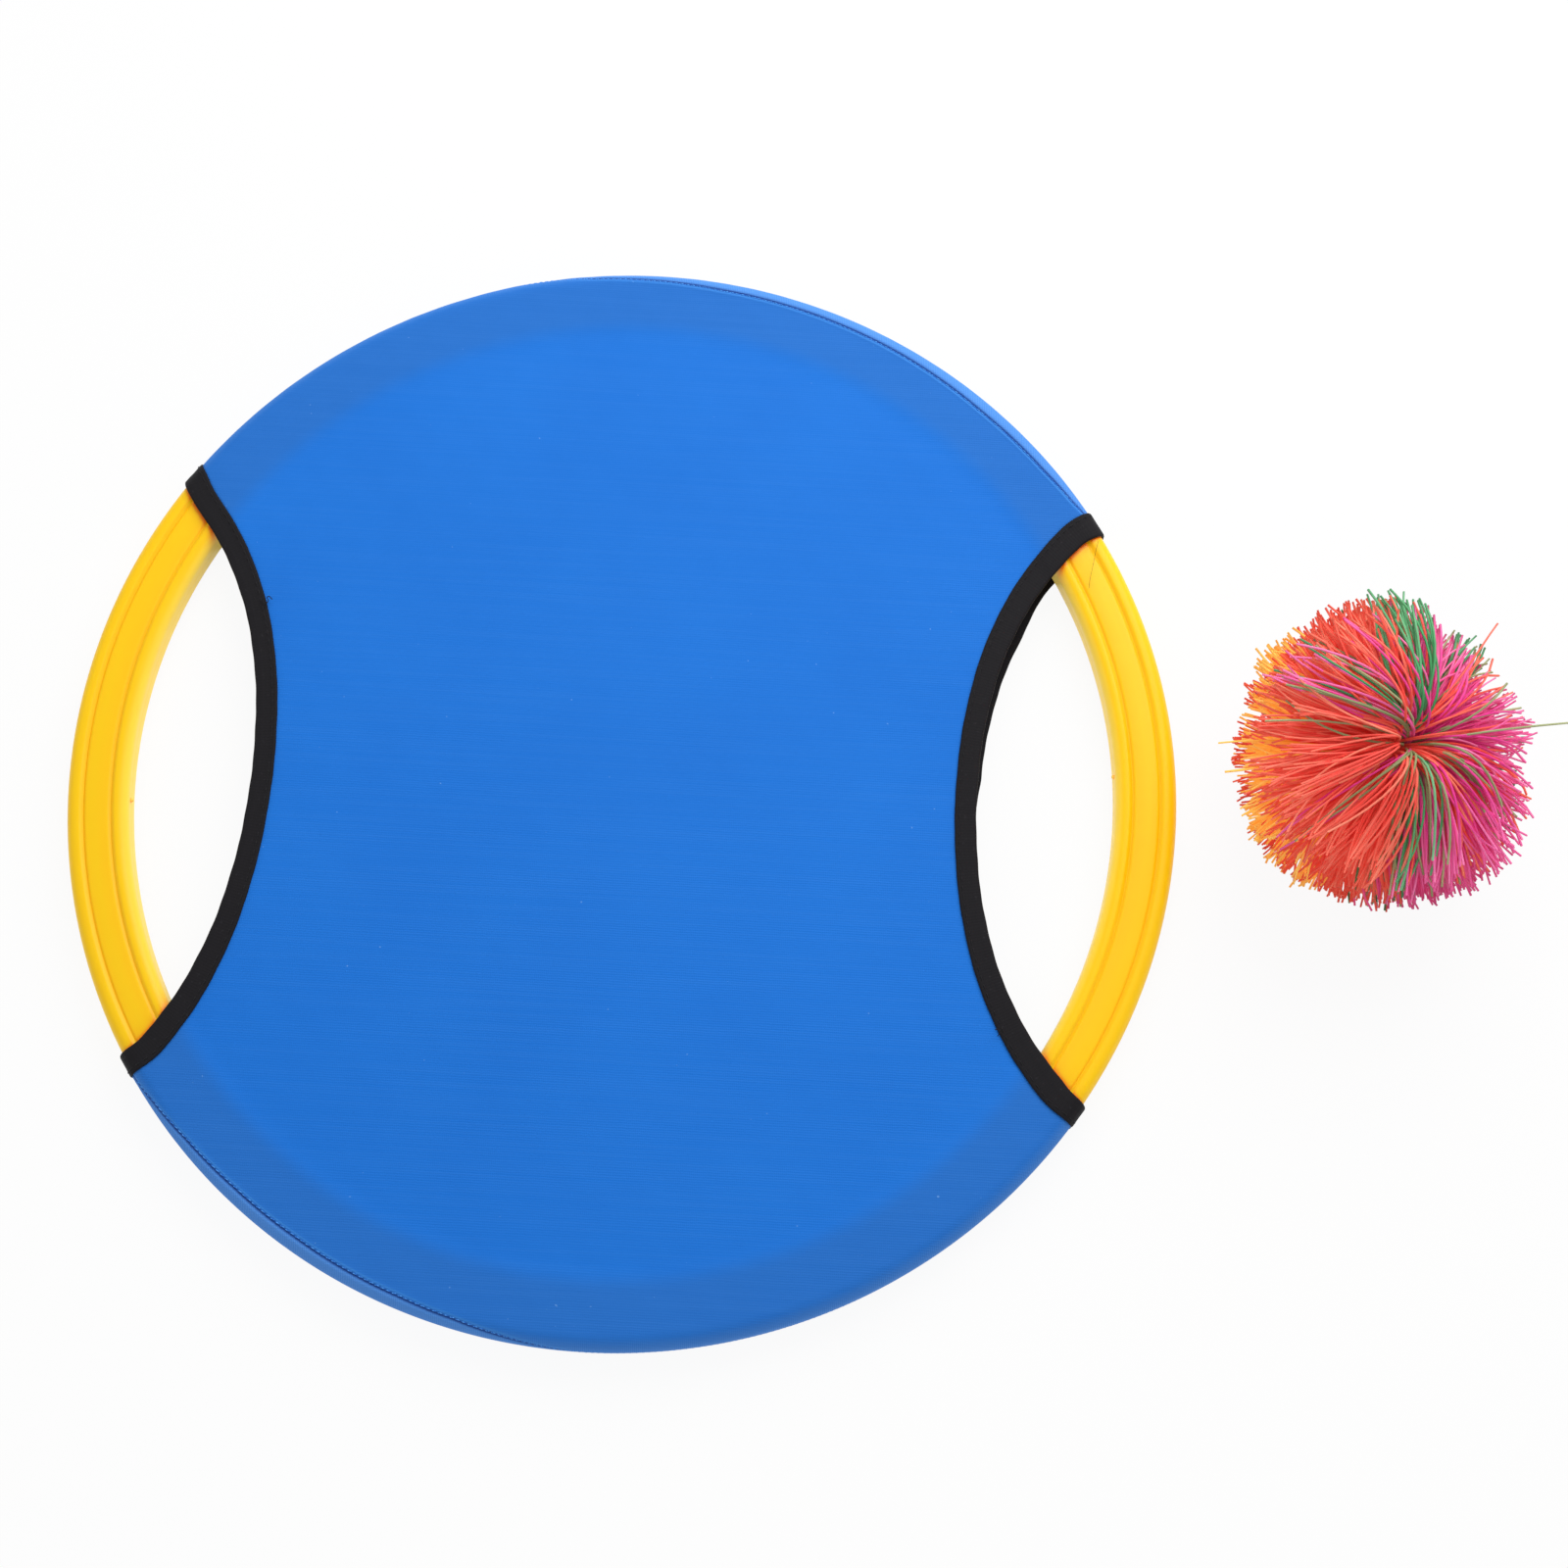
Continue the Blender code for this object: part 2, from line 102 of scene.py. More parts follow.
def arithmetic(operation):
    # an operator and its reflected form: each adds a Math node
    def plain(self, other):
        return self.math(operation, self, other)

    def reflected(self, other):
        return self.math(operation, other, self)

    return plain, reflected


class Wire:
    # one socket; arithmetic on it adds Math nodes
    def __init__(self, finish, socket):
        self.finish = finish
        self.socket = socket

    def math(self, operation, first, second):
        return self.finish.add("Math", {0: first, 1: second}, {"operation": operation})

    def other(self, name):
        # another output of the same node
        return Wire(self.finish, self.socket.node.outputs[name])

    __add__, __radd__ = arithmetic("ADD")
    __sub__, __rsub__ = arithmetic("SUBTRACT")
    __mul__, __rmul__ = arithmetic("MULTIPLY")
    __pow__, __rpow__ = arithmetic("POWER")


class Finish:
    # a material, or the world, that is put together from nodes
    def __init__(self, name, world=False):
        self.made = (bpy.data.worlds if world else bpy.data.materials).new(name)
        self.made.use_nodes = True
        self.end = "ShaderNodeOutputWorld" if world else "ShaderNodeOutputMaterial"
        self.tree = self.made.node_tree
        self.tree.nodes.clear()

    def add(self, kind, inputs=None, settings=None, output=0):
        node = self.tree.nodes.new("ShaderNode" + kind)
        for key, value in (settings or {}).items():
            setattr(node, key, value)
        for key, value in (inputs or {}).items():
            if isinstance(value, Wire):
                self.tree.links.new(value.socket, node.inputs[key])
            else:
                node.inputs[key].default_value = value
        return Wire(self, node.outputs[output])

    def mix(self, factor, first, second):
        # sockets 6 and 7 take a Mix node's colours, and 2 gives the result
        first, second = (c if isinstance(c, Wire) else colour(c) for c in (first, second))
        return self.add("Mix", {0: factor, 6: first, 7: second}, {"data_type": "RGBA"}, 2)

    def layers(self, base, shades, shares):
        # shades laid over base in turn, each by its own share
        for key, share in shares.items():
            base = self.mix(share, base, shades[key])
        return base

    def place(self):
        return self.add("TexCoord", output="Object")

    def attribute(self, name):
        return self.add("Attribute", None, {"attribute_name": name}, "Fac")

    def noise(self, place, scale, detail=2.0):
        return self.add("TexNoise", {"Vector": place, "Scale": scale, "Detail": detail})

    def wave(self, place, direction, scale, distortion, detail=1.0, detailScale=1.0):
        inputs = {"Vector": place, "Scale": scale, "Distortion": distortion, "Detail": detail}
        inputs["Detail Scale"] = detailScale
        return self.add("TexWave", inputs, {"bands_direction": direction}, "Fac")

    def smooth(self, value, low, high):
        return self.add("MapRange", {"Value": value, "From Min": low, "From Max": high},
                        {"interpolation_type": "SMOOTHSTEP"})

    def bump(self, height, strength, distance, under=None):
        inputs = {"Height": height, "Strength": strength, "Distance": distance}
        if under is not None:
            inputs["Normal"] = under
        return self.add("Bump", inputs)

    def seen(self):
        # 1 for what the camera sees, also in mirrors and through clear parts, and otherwise 0
        rays = self.add("LightPath", output="Is Camera Ray")
        mirrored = rays.math("MAXIMUM", rays, rays.other("Is Glossy Ray"))
        return rays.math("MAXIMUM", mirrored, rays.other("Is Transmission Ray"))

    def close(self, shader):
        self.tree.links.new(shader.socket, self.tree.nodes.new(self.end).inputs["Surface"])
        return self.made

    def surface(self, inputs):
        return self.close(self.add("BsdfPrincipled", inputs))


def colour(shown):
    # red, green and blue as displayed, from 0 to 255, made linear
    part = [v / 255 for v in shown]
    return (*[v / 12.92 if v <= 0.04045 else ((v + 0.055) / 1.055) ** 2.4 for v in part], 1.0)


# shapes as numbers

def ramp(value, start, width):
    # 0 up to start, 1 from start + width on, and even between them
    return np.clip((value - start) / width, 0, 1)


def bell(value, middle, half):
    # exp(-t^2), t being how many halves value lies from the middle
    return np.exp(-((value - middle) / half) ** 2)


def polar(turn, reach):
    # the flat place at an angle and a distance from the paddle's middle
    return np.stack([reach * np.cos(turn), reach * np.sin(turn)], -1)


def unit(vectors):
    return vectors / np.linalg.norm(vectors, axis=-1, keepdims=True)


def runAlong(line):
    # distance along a line, up to each of its points
    return np.concatenate([[0], np.cumsum(np.linalg.norm(np.diff(line, axis=0), axis=1))])


def spotsOn(line, run, at):
    # places on a line, or what goes with them, at the given distances along it
    return np.stack([np.interp(at, run, values) for values in line.T], -1)


# mesh building

def gridFaces(rows, columns, closeRows=False, closeColumns=False):
    # quads between neighbours on a grid, and each corner's row and column before it wraps round
    row, column = np.indices((rows - 1 + closeRows, columns - 1 + closeColumns)).reshape(2, -1)
    cornerRow = np.stack([row, row, row + 1, row + 1], 1)
    cornerColumn = np.stack([column, column + 1, column + 1, column], 1)
    return (cornerRow % rows) * columns + cornerColumn % columns, cornerRow, cornerColumn


def outwards(points, faces):
    # 1 where closed quads face outwards, else -1: the sign of the volume inside them
    a, b, c, d = (points[faces[:, i]] for i in range(4))
    return 1 if (np.cross(a, b) * c).sum() + (np.cross(a, c) * d).sum() > 0 else -1


def addPiece(name, shape, finish, body, stands):
    # shape is points (n, 3) and faces (m, 4), and maybe numbers for each point by name and a UV place for
    # each face corner. stands names the node that the piece stands for
    points, faces, values, corners = (*shape, None, None)[:4]
    mesh = bpy.data.meshes.new(name)
    mesh.vertices.add(len(points))
    mesh.vertices.foreach_set("co", np.ascontiguousarray(points, np.float32).ravel())
    mesh.loops.add(faces.size)
    mesh.loops.foreach_set("vertex_index", np.ascontiguousarray(faces, np.int32).ravel())
    mesh.polygons.add(len(faces))
    mesh.polygons.foreach_set("loop_start", np.arange(0, faces.size, 4, dtype=np.int32))
    mesh.update(calc_edges=True)
    mesh.polygons.foreach_set("use_smooth", np.ones(len(faces), bool))
    for key, numbers in (values or {}).items():
        layer = mesh.attributes.new(key, "FLOAT", "POINT")
        layer.data.foreach_set("value", np.ascontiguousarray(numbers, np.float32).ravel())
    if corners is not None:
        layer = mesh.uv_layers.new(name="flat")
        layer.uv.foreach_set("vector", np.ascontiguousarray(corners, np.float32).ravel())
    mesh.validate()
    mesh.materials.append(finish)
    piece = addObject(name, mesh)
    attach(piece, body)
    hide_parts(stands)
    return piece


def tubes(paths, radii, sides, across):
    # n tubes at once: paths is (n, m, 3), radii (n, m); across (n, 3) is a direction none of them runs in.
    # ring corner = path + radius * (cos a * side + sin a * up), side and up being square to the path
    heading = unit(np.gradient(paths, axis=1))
    up = unit(np.cross(heading, across[:, None, :]))
    side = np.cross(up, heading)
    angle = (np.arange(sides) + 0.5) * math.tau / sides
    ring = np.cos(angle)[:, None] * side[:, :, None, :] + np.sin(angle)[:, None] * up[:, :, None, :]
    points = paths[:, :, None, :] + radii[:, :, None, None] * ring
    count, steps = paths.shape[:2]
    wall = gridFaces(steps, sides, closeColumns=True)[0]
    fan = np.array([[0, i, i + 1, i + 2] for i in range(1, sides - 1, 2)])
    one = np.concatenate([wall, fan, (fan + (steps - 1) * sides)[:, ::-1]])
    faces = (one[None] + (np.arange(count) * steps * sides)[:, None, None]).reshape(-1, 4)
    points = points.reshape(-1, 3)
    return points, faces[:, ::outwards(points, faces)]


# the hoop's shape, and the cover drawn over it

hoop = {
    "outer": 0.1394,
    "width": 0.0154,
    "thickness": 0.0100,
    "middle": 0.0061,  # height of its middle plane
    "edge": 0.0034,  # how round the cloth bends over its corners
    "corner": 0.0028,  # the corners themselves
    "outerGroove": 0.0042,  # from the outside to the first groove
    "innerGroove": 0.0040,  # from the inside to the second
    "grooveDepth": 0.00042,
    "grooveHalf": 0.00048,
    "crown": 0.00022,
    "partingLine": 0.00007,
    "partingHalf": 0.0002,
    "wobble": ((0.00003, 3, 0), (0.00002, 7, 1)),  # size, waves round the hoop and shift
    "turnSteps": 384,
    # gate marks on the inner wall: degrees round the hoop, and length
    "nubs": ((-175.0, 0.0011), (4.0, 0.0010)),
    "nubRise": 0.0012,
    "nubRoot": 0.0004,
    "nubGirth": ((0.0, 0.62), (0.0004, 0.58), (0.0008, 0.5), (0.0010, 0.25)),
}

skinFlat = hoop["outer"] - hoop["edge"]
skinBend = hoop["edge"] * math.pi / 2
skinWall = hoop["thickness"] - 2 * hoop["edge"]
skinEnd = skinFlat + skinBend + skinWall / 2

cover = {
    "thickness": 0.00034,
    "off": {1: 0.00064, -1: 0.00056},  # how far its outside stands off the hoop, in front and behind
    "slack": 0.00030,  # how far the cloth dips inside the hoop
    "slackFrom": 0.1245,
    "slackTo": 0.1195,
    "columns": 190,
    "rows": 150,
    "cut": 0.94,  # size it was cut to, each way, before it was stretched: a guess
    "pull": 0.00026,  # how far the cloth is drawn in at the seam, and over what length
    "pullReach": 0.00030,
    "roll": 0.00008,  # the low roll beside the seam, its distance and half width
    "rollAt": (0.0009, 0.00035),
    "ripple": 0.00004,
    # how far the painted shade in the seam's crease reaches
    "rimFade": 0.0004,
    # the painted highlight along the roll beside the seam: distance and half width
    "ridge": (0.0007, 0.0002),
    "band": (0.1205, 0.0060),  # where the painted shade on the cloth over the hoop starts, and over what width
    "wall": (0.0010, 0.0040),  # the same of the painted highlight round the outside, past the flat
    # how far the seam lies from the hoop's mid-plane towards the front, in mm by degrees
    "seam": (
        (34, 4.7), (36, 5.6), (41, 6.5), (50, 7.0), (62, 6.7), (74, 6.6), (83, 6.4), (92, 5.5), (97, 4.9),
        (103, 3.2), (112, 1.0), (125, -1.4), (146, -2.8),
        (215, 3.2), (219, 4.6), (224, 5.7), (231, 6.3), (239, 6.4), (251, 6.0), (257, 5.4), (262, 4.2),
        (266, 3.0), (272, 0.8), (285, -1.0), (300, -2.4), (328, -2.8),
    ),
}


def skinPlace(along, off):
    # radius and height off the mid-plane at a length along the hoop's skin from the paddle's middle:
    # flat, a quarter bend, the outer wall, a quarter bend, and flat again on the other face
    half, edge = hoop["thickness"] / 2, hoop["edge"]
    past = along - skinFlat
    bend = np.clip(past / edge, 0, math.pi / 2)
    after = past - skinBend - skinWall
    under = np.clip(after / edge, 0, math.pi / 2)
    reach = edge + off
    beyond = np.where(after < 0, skinFlat + reach * np.sin(bend), skinFlat + reach * np.cos(under))
    radius = np.where(past < 0, along, beyond)
    radius = np.where(after > skinBend, skinFlat - (after - skinBend), radius)
    wall = half - edge - np.clip(past - skinBend, 0, skinWall)
    below = np.where(after < 0, wall, edge - half - reach * np.sin(under))
    height = np.where(past < skinBend, half - edge + reach * np.cos(bend), below)
    return radius, height


def skinPoints(x, y, off, side):
    # the cover rolled out flat, put back on the front (side 1) or the back (side -1) of the hoop
    along = np.hypot(x, y)
    turn = np.arctan2(y, x)
    radius, height = skinPlace(along, off)
    slack = np.clip((cover["slackFrom"] - along) / (cover["slackFrom"] - cover["slackTo"]), 0, 1)
    height = height - cover["slack"] * slack ** 2 * (3 - 2 * slack)
    return np.stack([radius * np.cos(turn), radius * np.sin(turn), hoop["middle"] + side * height], -1)


def seamReach(turn, side):
    # length along the skin from the paddle's middle to the seam, at each angle
    knots = np.array(cover["seam"])
    return skinEnd - side * np.interp(np.degrees(turn) % 360, knots[:, 0], knots[:, 1], period=360) / 1000


# hand-hole tapes. Each one's edge on the cloth is a quartic: x in mm from the powers of y / 60 mm. width is
# in mm, at y = 0 and what 60 mm adds, and rim gives the degrees where the two ends meet the rim

tape = {
    "left": {"mirror": -1, "cloth": (-87.65, -0.51, -10.02, -1.34, -3.08), "width": (5.4, 0.5),
             "rim": (-146.1, 146.4), "rimWidth": (5.8, 6.2), "backShift": 0.0},
    "right": {"mirror": 1, "cloth": (83.51, 0.58, 10.84, 0.33, 3.37), "width": (5.4, 1.0),
              "rim": (-33.8, 32.7), "rimWidth": (5.4, 7.2), "backShift": 1.4},
    "span": 0.085,  # how far up and down its curve is worked out
    "shiftFrom": (-0.008, 0.016),  # where the back tape starts to stand further out, and over what height,
    "shiftTo": (-0.062, 0.012),  # upwards and downwards
    "turn": 0.0050,  # where it leaves its curve, before the hoop's bend
    "frontTop": 0.00130,
    "backTop": 0.00095,
    "pressed": 0.00025,  # flatter where it goes round the rim
    "bottom": 0.00025,
    "step": 0.0010,
    "cornerStep": 0.0006,  # the same across it, for its UV map
    "tuck": 0.0007,  # how far the cloth goes in under it
    "stitchInset": 0.0011,
    "lip": 0.0002,  # height of the raw edge
    "waver": 0.00004,  # how much its sides waver, and its top
    "uneven": 0.00003,
    # across it in half widths, and how far its top lies there under its full height
    "sag": ((-0.35, 0.00002), (0.0, 0.00005), (0.35, 0.00004), (0.8, 0.0), (0.95, 0.00004), (1.0, 0.00016)),
}


def tapeLine(shape, side):
    # middle line, direction towards the cloth, length run and half width, from the lower seam to the upper:
    # a Bezier that starts square to the rim, the curve of the hole, and a Bezier again
    mirror = shape["mirror"]
    y = np.linspace(-tape["span"], tape["span"], 3400)
    part = y / 0.060
    x = sum(c * part ** i for i, c in enumerate(shape["cloth"])) / 1000
    slope = sum(i * c * part ** (i - 1) for i, c in enumerate(shape["cloth"]) if i) / 60
    width = (shape["width"][0] + shape["width"][1] * part ** 2) / 1000
    # square to the line, towards +x
    square = np.stack([np.ones_like(y), -slope], -1) / np.sqrt(1 + slope ** 2)[:, None]
    front = np.stack([x, y], -1) + square * (mirror * width / 2)[:, None]
    shift = ramp(y, *tape["shiftFrom"]) * ramp(-y, *tape["shiftTo"]) * shape["backShift"] / 1000
    line = front + square * (mirror * shift)[:, None] * (side < 0)
    inside = np.hypot(*front.T) < skinFlat - tape["turn"]
    low, high = np.flatnonzero(inside)[[0, -1]]
    t = np.linspace(0, 1, 40)
    ends = []
    for pick, heading, degrees, rimWidth in zip((low, high), (-1, 1), shape["rim"], shape["rimWidth"]):
        start = line[pick]
        along = np.array([slope[pick], 1.0]) * heading / math.hypot(slope[pick], 1.0)
        outward = polar(math.radians(degrees), 1.0)
        finish = outward * skinEnd
        handle = np.hypot(*(finish - start)) / 3
        knots = (start, start + along * handle, finish - outward * handle * 0.5, finish)
        weights = ((1 - t) ** 3, 3 * t * (1 - t) ** 2, 3 * t * t * (1 - t), t ** 3)
        curve = sum(w[:, None] * k for w, k in zip(weights, knots))
        ends.append((curve, (width[pick] + (rimWidth / 1000 - width[pick]) * t) / 2))
    places = np.concatenate([ends[0][0][::-1], line[low + 1:high], ends[1][0]])
    half = np.concatenate([ends[0][1][::-1], width[low + 1:high] / 2, ends[1][1]])
    run = runAlong(places)
    even = np.linspace(0, run[-1], int(run[-1] / tape["step"]))
    flat = spotsOn(places, run, even)
    heading = unit(np.gradient(flat, axis=0))
    return flat, mirror * np.stack([-heading[:, 1], heading[:, 0]], -1), even, np.interp(even, run, half)


def tapeTop(flat, side):
    # proud of the cloth on the front, nearly level with it on the back, and even between them round the rim
    height = skinPlace(np.hypot(flat[:, 0], flat[:, 1]), 0.0)[1] * side / (hoop["thickness"] / 2)
    top = tape["backTop"] + (tape["frontTop"] - tape["backTop"]) * (1 + height) / 2
    return top - tape["pressed"] * (1 - np.abs(height))


# cloth panels

def panelGrid(side):
    # a Coons patch in the rolled-out plane between the two tapes and the two seams:
    # the blend of opposite edges, less the blend of the four corners
    rows, columns = cover["rows"], cover["columns"]
    v = 0.5 - 0.5 * np.cos(np.pi * np.linspace(0, 1, rows))
    u = np.linspace(0, 1, columns)
    edges, rims = [], []
    for key in ("left", "right"):
        line, across, _, half = tapeLine(tape[key], side)
        line = line + across * (half - tape["tuck"])[:, None]
        # made longer where the seam lies past its end, and cut off where it lies before
        for end in (0, -1):
            reach = seamReach(math.atan2(line[end][1], line[end][0]), side)
            if reach > skinEnd:
                line = np.insert(line, 0 if end == 0 else len(line), line[end] * reach / skinEnd, 0)
        line = line[np.hypot(*line.T) <= seamReach(np.arctan2(line[:, 1], line[:, 0]), side) + 1e-9]
        for end in (0, -1):
            turn = math.atan2(line[end][1], line[end][0])
            line[end] = polar(turn, seamReach(turn, side))
        run = runAlong(line)
        edges.append(spotsOn(line, run, v * run[-1]))
    left, right = edges
    for end in (0, -1):
        first, last = (math.atan2(edge[end][1], edge[end][0]) for edge in edges)
        turn = first + (last - first) * u
        rims.append(polar(turn, seamReach(turn, side)))
    u, v = u[None, :, None], v[:, None, None]
    sides = (1 - u) * left[:, None] + u * right[:, None]
    ends = (1 - v) * rims[0] + v * rims[1]
    corners = (1 - v) * ((1 - u) * left[0] + u * right[0]) + v * ((1 - u) * left[-1] + u * right[-1])
    return sides + ends - corners


def makePanel(name, side, finish, stands):
    # the piece, its area, and how far it reaches each way once it is rolled out flat
    flat = panelGrid(side)
    x, y = flat[..., 0], flat[..., 1]
    along = np.hypot(x, y)
    gap = seamReach(np.arctan2(y, x), side) - along
    off = cover["off"][side] - cover["pull"] * np.exp(-np.clip(gap, 0, None) / cover["pullReach"])
    off += cover["roll"] * bell(gap, *cover["rollAt"])
    points = skinPoints(x, y, off, side)
    points[..., 2] += side * cover["ripple"] * np.sin(x * 610 + y * 180) * np.sin(y * 340 - x * 150)
    points = points.reshape(-1, 3)
    # the grid's faces point up, and the back's have to point down
    faces = gridFaces(*x.shape)[0][:, ::side]
    values = {
        # painted shade on the cloth over the hoop
        "band": ramp(along, *cover["band"]),
        # painted shade in the crease at the seam
        "rim": np.clip(1.3 - gap / cover["rimFade"], 0, 1),
        # painted highlight along the roll beside the seam
        "ridge": bell(gap, *cover["ridge"]) * (side > 0),
        # where the painted highlight round the outside lies
        "side": ramp(along - skinFlat, *cover["wall"]),
    }
    piece = addPiece(name, (points, faces, values), finish, "cover", stands)
    wall = piece.modifiers.new("thickness", "SOLIDIFY")
    wall.thickness = cover["thickness"]
    wall.offset = -1.0
    # each quad's area is that of the two triangles beside its diagonal
    a, b, c, d = (points[faces[:, i]] for i in range(4))
    area = sum(np.linalg.norm(np.cross(c - a, e - a), axis=1).sum() / 2 for e in (b, d))
    return piece, float(area), (float(np.ptp(x)), float(np.ptp(y)))


knit = {
    "deep": (11, 110, 210),
    "pale": (19, 119, 220),
    "onHoopShade": (36, 107, 189),  # painted shade where the cloth lies on the hoop and less light comes through it
    "streak": (78, 150, 236),
    "between": (16, 70, 160),  # between the loops
    "lint": (140, 190, 245),
    "wall": (84, 150, 236),  # painted highlight round the outside
    # the wales showing lighter in the painted highlight round the outside
    "waleHighlight": (120, 178, 246),
    # painted highlight along the roll beside the seam, on the front
    "ridge": (80, 164, 246),
    # painted shade in the crease at the seam
    "seam": (10, 56, 138),
    "sheen": (90, 170, 255),
    "courseScale": 520.0,
    "waleScale": 690.0,
    "streakScale": (20.0, 1500.0, 20.0),
    "cloudScale": 26.0,
    "lintScale": 800.0,
}


def clothFinish():
    finish = Finish("stretchKnit")
    place = finish.place()
    courses = finish.wave(place, "Y", knit["courseScale"], 1.2, 1.0, 0.6)
    wales = finish.wave(place, "X", knit["waleScale"], 0.6, 1.0, 0.8)
    streaks = finish.noise(finish.add("Mapping", {"Vector": place, "Scale": knit["streakScale"]}), 1.0)
    cloud = finish.noise(place, knit["cloudScale"], 3.0)
    lint = finish.smooth(finish.noise(place, knit["lintScale"], 1.0), 0.80, 0.84)
    loops = courses * 0.7 + wales * 0.3
    side = finish.attribute("side")
    return finish.surface({
        "Base Color": finish.layers(finish.mix(cloud, knit["deep"], knit["pale"]), knit, {
            # painted shade on the cloth over the hoop
            "onHoopShade": finish.smooth(finish.attribute("band"), 0.0, 1.0) * 0.60,
            "streak": finish.smooth(streaks, 0.35, 0.75) * 0.05,
            "between": (1 - loops) * 0.07,
            "lint": lint * 0.4,
            # painted highlight round the outside, with lighter wales in it
            "wall": side * 0.52,
            "waleHighlight": side * wales * 0.35,
            # painted highlight along the roll beside the seam
            "ridge": finish.attribute("ridge") * 0.40,
            # painted shade in the crease at the seam
            "seam": finish.attribute("rim") * 0.85,
        }),
        "Roughness": 0.78 - loops * 0.10,
        "Specular IOR Level": 0.25,
        "Sheen Weight": 0.06,
        "Sheen Roughness": 0.45,
        "Sheen Tint": colour(knit["sheen"]),
        "Normal": finish.bump(loops + streaks * 0.5, 0.35, 0.00012, finish.bump(cloud, 0.15, 0.0012)),
    })


stretchKnit = clothFinish()
front = makePanel("front_cloth", 1, stretchKnit, "front_panel")
back = makePanel("back_cloth", -1, stretchKnit, "back_panel")
print("cloth panels:", round(front[1], 4), round(back[1], 4), "square metres")


# tapes

def makeTape(name, shape, finish, stands):
    # a folded strip carried along its line on the front and back again behind: round at the fold, on the
    # hole's side, and thin and square at the raw edge on the cloth
    loops = []
    low = tape["bottom"]
    fold = np.linspace(np.pi * 1.5, np.pi / 2, 7)
    start = 0.0
    for side in (1, -1):
        line, over, run, half = tapeLine(shape, side)
        if side < 0:
            line, over, half = line[-2:0:-1], over[-2:0:-1], half[-2:0:-1]
            run = run[1:-1]
        run = run + start
        start = run[-1]
        top = tapeTop(line, side) + tape["uneven"] * np.sin(run * 1900) * np.sin(run * 530)
        thick = (top - low) / 2
        waver = tape["waver"] * (np.sin(run * 820 + 1.3) + np.sin(run * 310))
        wide = [-half + thick + waver + thick * np.cos(a) for a in fold]
        high = [low + thick + thick * np.sin(a) for a in fold]
        for w, sag in tape["sag"]:
            wide.append(half * w + waver * 0.7 * (w > 0.7))
            high.append(top - sag)
        for w, lift in ((1.0, tape["lip"]), (0.9, 0.0)):
            wide.append(half * w + waver * 0.7)
            high.append(np.full(len(line), low + lift))
        wide, high = np.stack(wide, 1), np.stack(high, 1)
        spot = line[:, None, :] + over[:, None, :] * wide[..., None]
        loops.append(skinPoints(spot[..., 0], spot[..., 1], high, side))
    points = np.concatenate(loops)
    rows, columns = points.shape[:2]
    faces, cornerRow, cornerColumn = gridFaces(rows, columns, True, True)
    points = points.reshape(-1, 3)
    corners = np.stack([cornerRow * tape["step"], cornerColumn * tape["cornerStep"]], -1)
    order = outwards(points, faces)
    shape = (points, faces[:, ::order], None, corners[:, ::order])
    return addPiece(name, shape, finish, "cover", stands)


webbing = {
    "dark": (14, 13, 16),
    "light": (24, 22, 26),
    "lint": (84, 82, 88),
    "ribScale": 420.0,
    "lineScale": 480.0,
    "lintScale": 900.0,
}


def tapeFinish():
    finish = Finish("foldedTape")
    flat = finish.add("UVMap", None, {"uv_map": "flat"})
    ribs = finish.wave(flat, "X", webbing["ribScale"], 0.8)
    lines = finish.wave(flat, "Y", webbing["lineScale"], 0.5)
    lint = finish.noise(finish.place(), webbing["lintScale"])
    weave = ribs * 0.6 + lines * 0.4
    base = finish.mix(weave, webbing["dark"], webbing["light"])
    return finish.surface({
        "Base Color": finish.mix(finish.smooth(lint, 0.64, 0.80) * 0.15, base, webbing["lint"]),
        "Roughness": 0.62 + weave * 0.15,
        "Specular IOR Level": 0.15,
        "Sheen Weight": 0.04,
        "Sheen Roughness": 0.4,
        "Normal": finish.bump(weave, 0.3, 0.00010),
    })


foldedTape = tapeFinish()
edging = [makeTape(key + "_tape", tape[key], foldedTape, key + "_binding") for key in ("left", "right")]
print("tapes done")


# stitches and loose ends

stitch = {
    # pitch, length, radius and skew of each stitch
    "seam": (0.00150, 0.00115, 0.00013, 0.00011),
    "tape": (0.0023, 0.0017, 0.00014, 0.0),
    "seamInset": 0.00030,
    # how far stitches lie in the cloth, and in the tape in front and behind
    "seamSunk": 0.00012,
    "tapeSunk": {1: 0.00002, -1: 0.00016},
    "clear": 0.001,  # the tapes' stitches end this far before the middle of the hoop's outside
    "top": (34.8, 144.2),  # degrees from one tape to the other
    "bottom": (215.8, 324.4),
    # loose ends: tape, radius and places
    "loose": (
        ("left", 0.00012, ((-0.0950, 0.0420, 0.0125), (-0.0945, 0.0413, 0.0130), (-0.0938, 0.0412, 0.0129),
                           (-0.0934, 0.0420, 0.0127), (-0.0938, 0.0427, 0.0128), (-0.0932, 0.0430, 0.0130),
                           (-0.0924, 0.0423, 0.0129))),
        ("right", 0.00014, ((0.0958, -0.0598, 0.0127), (0.0963, -0.0590, 0.0135), (0.0957, -0.0583, 0.0139),
                            (0.0950, -0.0585, 0.0140))),
        ("right", 0.00005, ((0.1178, 0.0699, 0.0128), (0.1172, 0.0672, 0.0131), (0.1166, 0.0634, 0.0126),
                            (0.1160, 0.0600, 0.0122), (0.1157, 0.0572, 0.0121))),
    ),
}


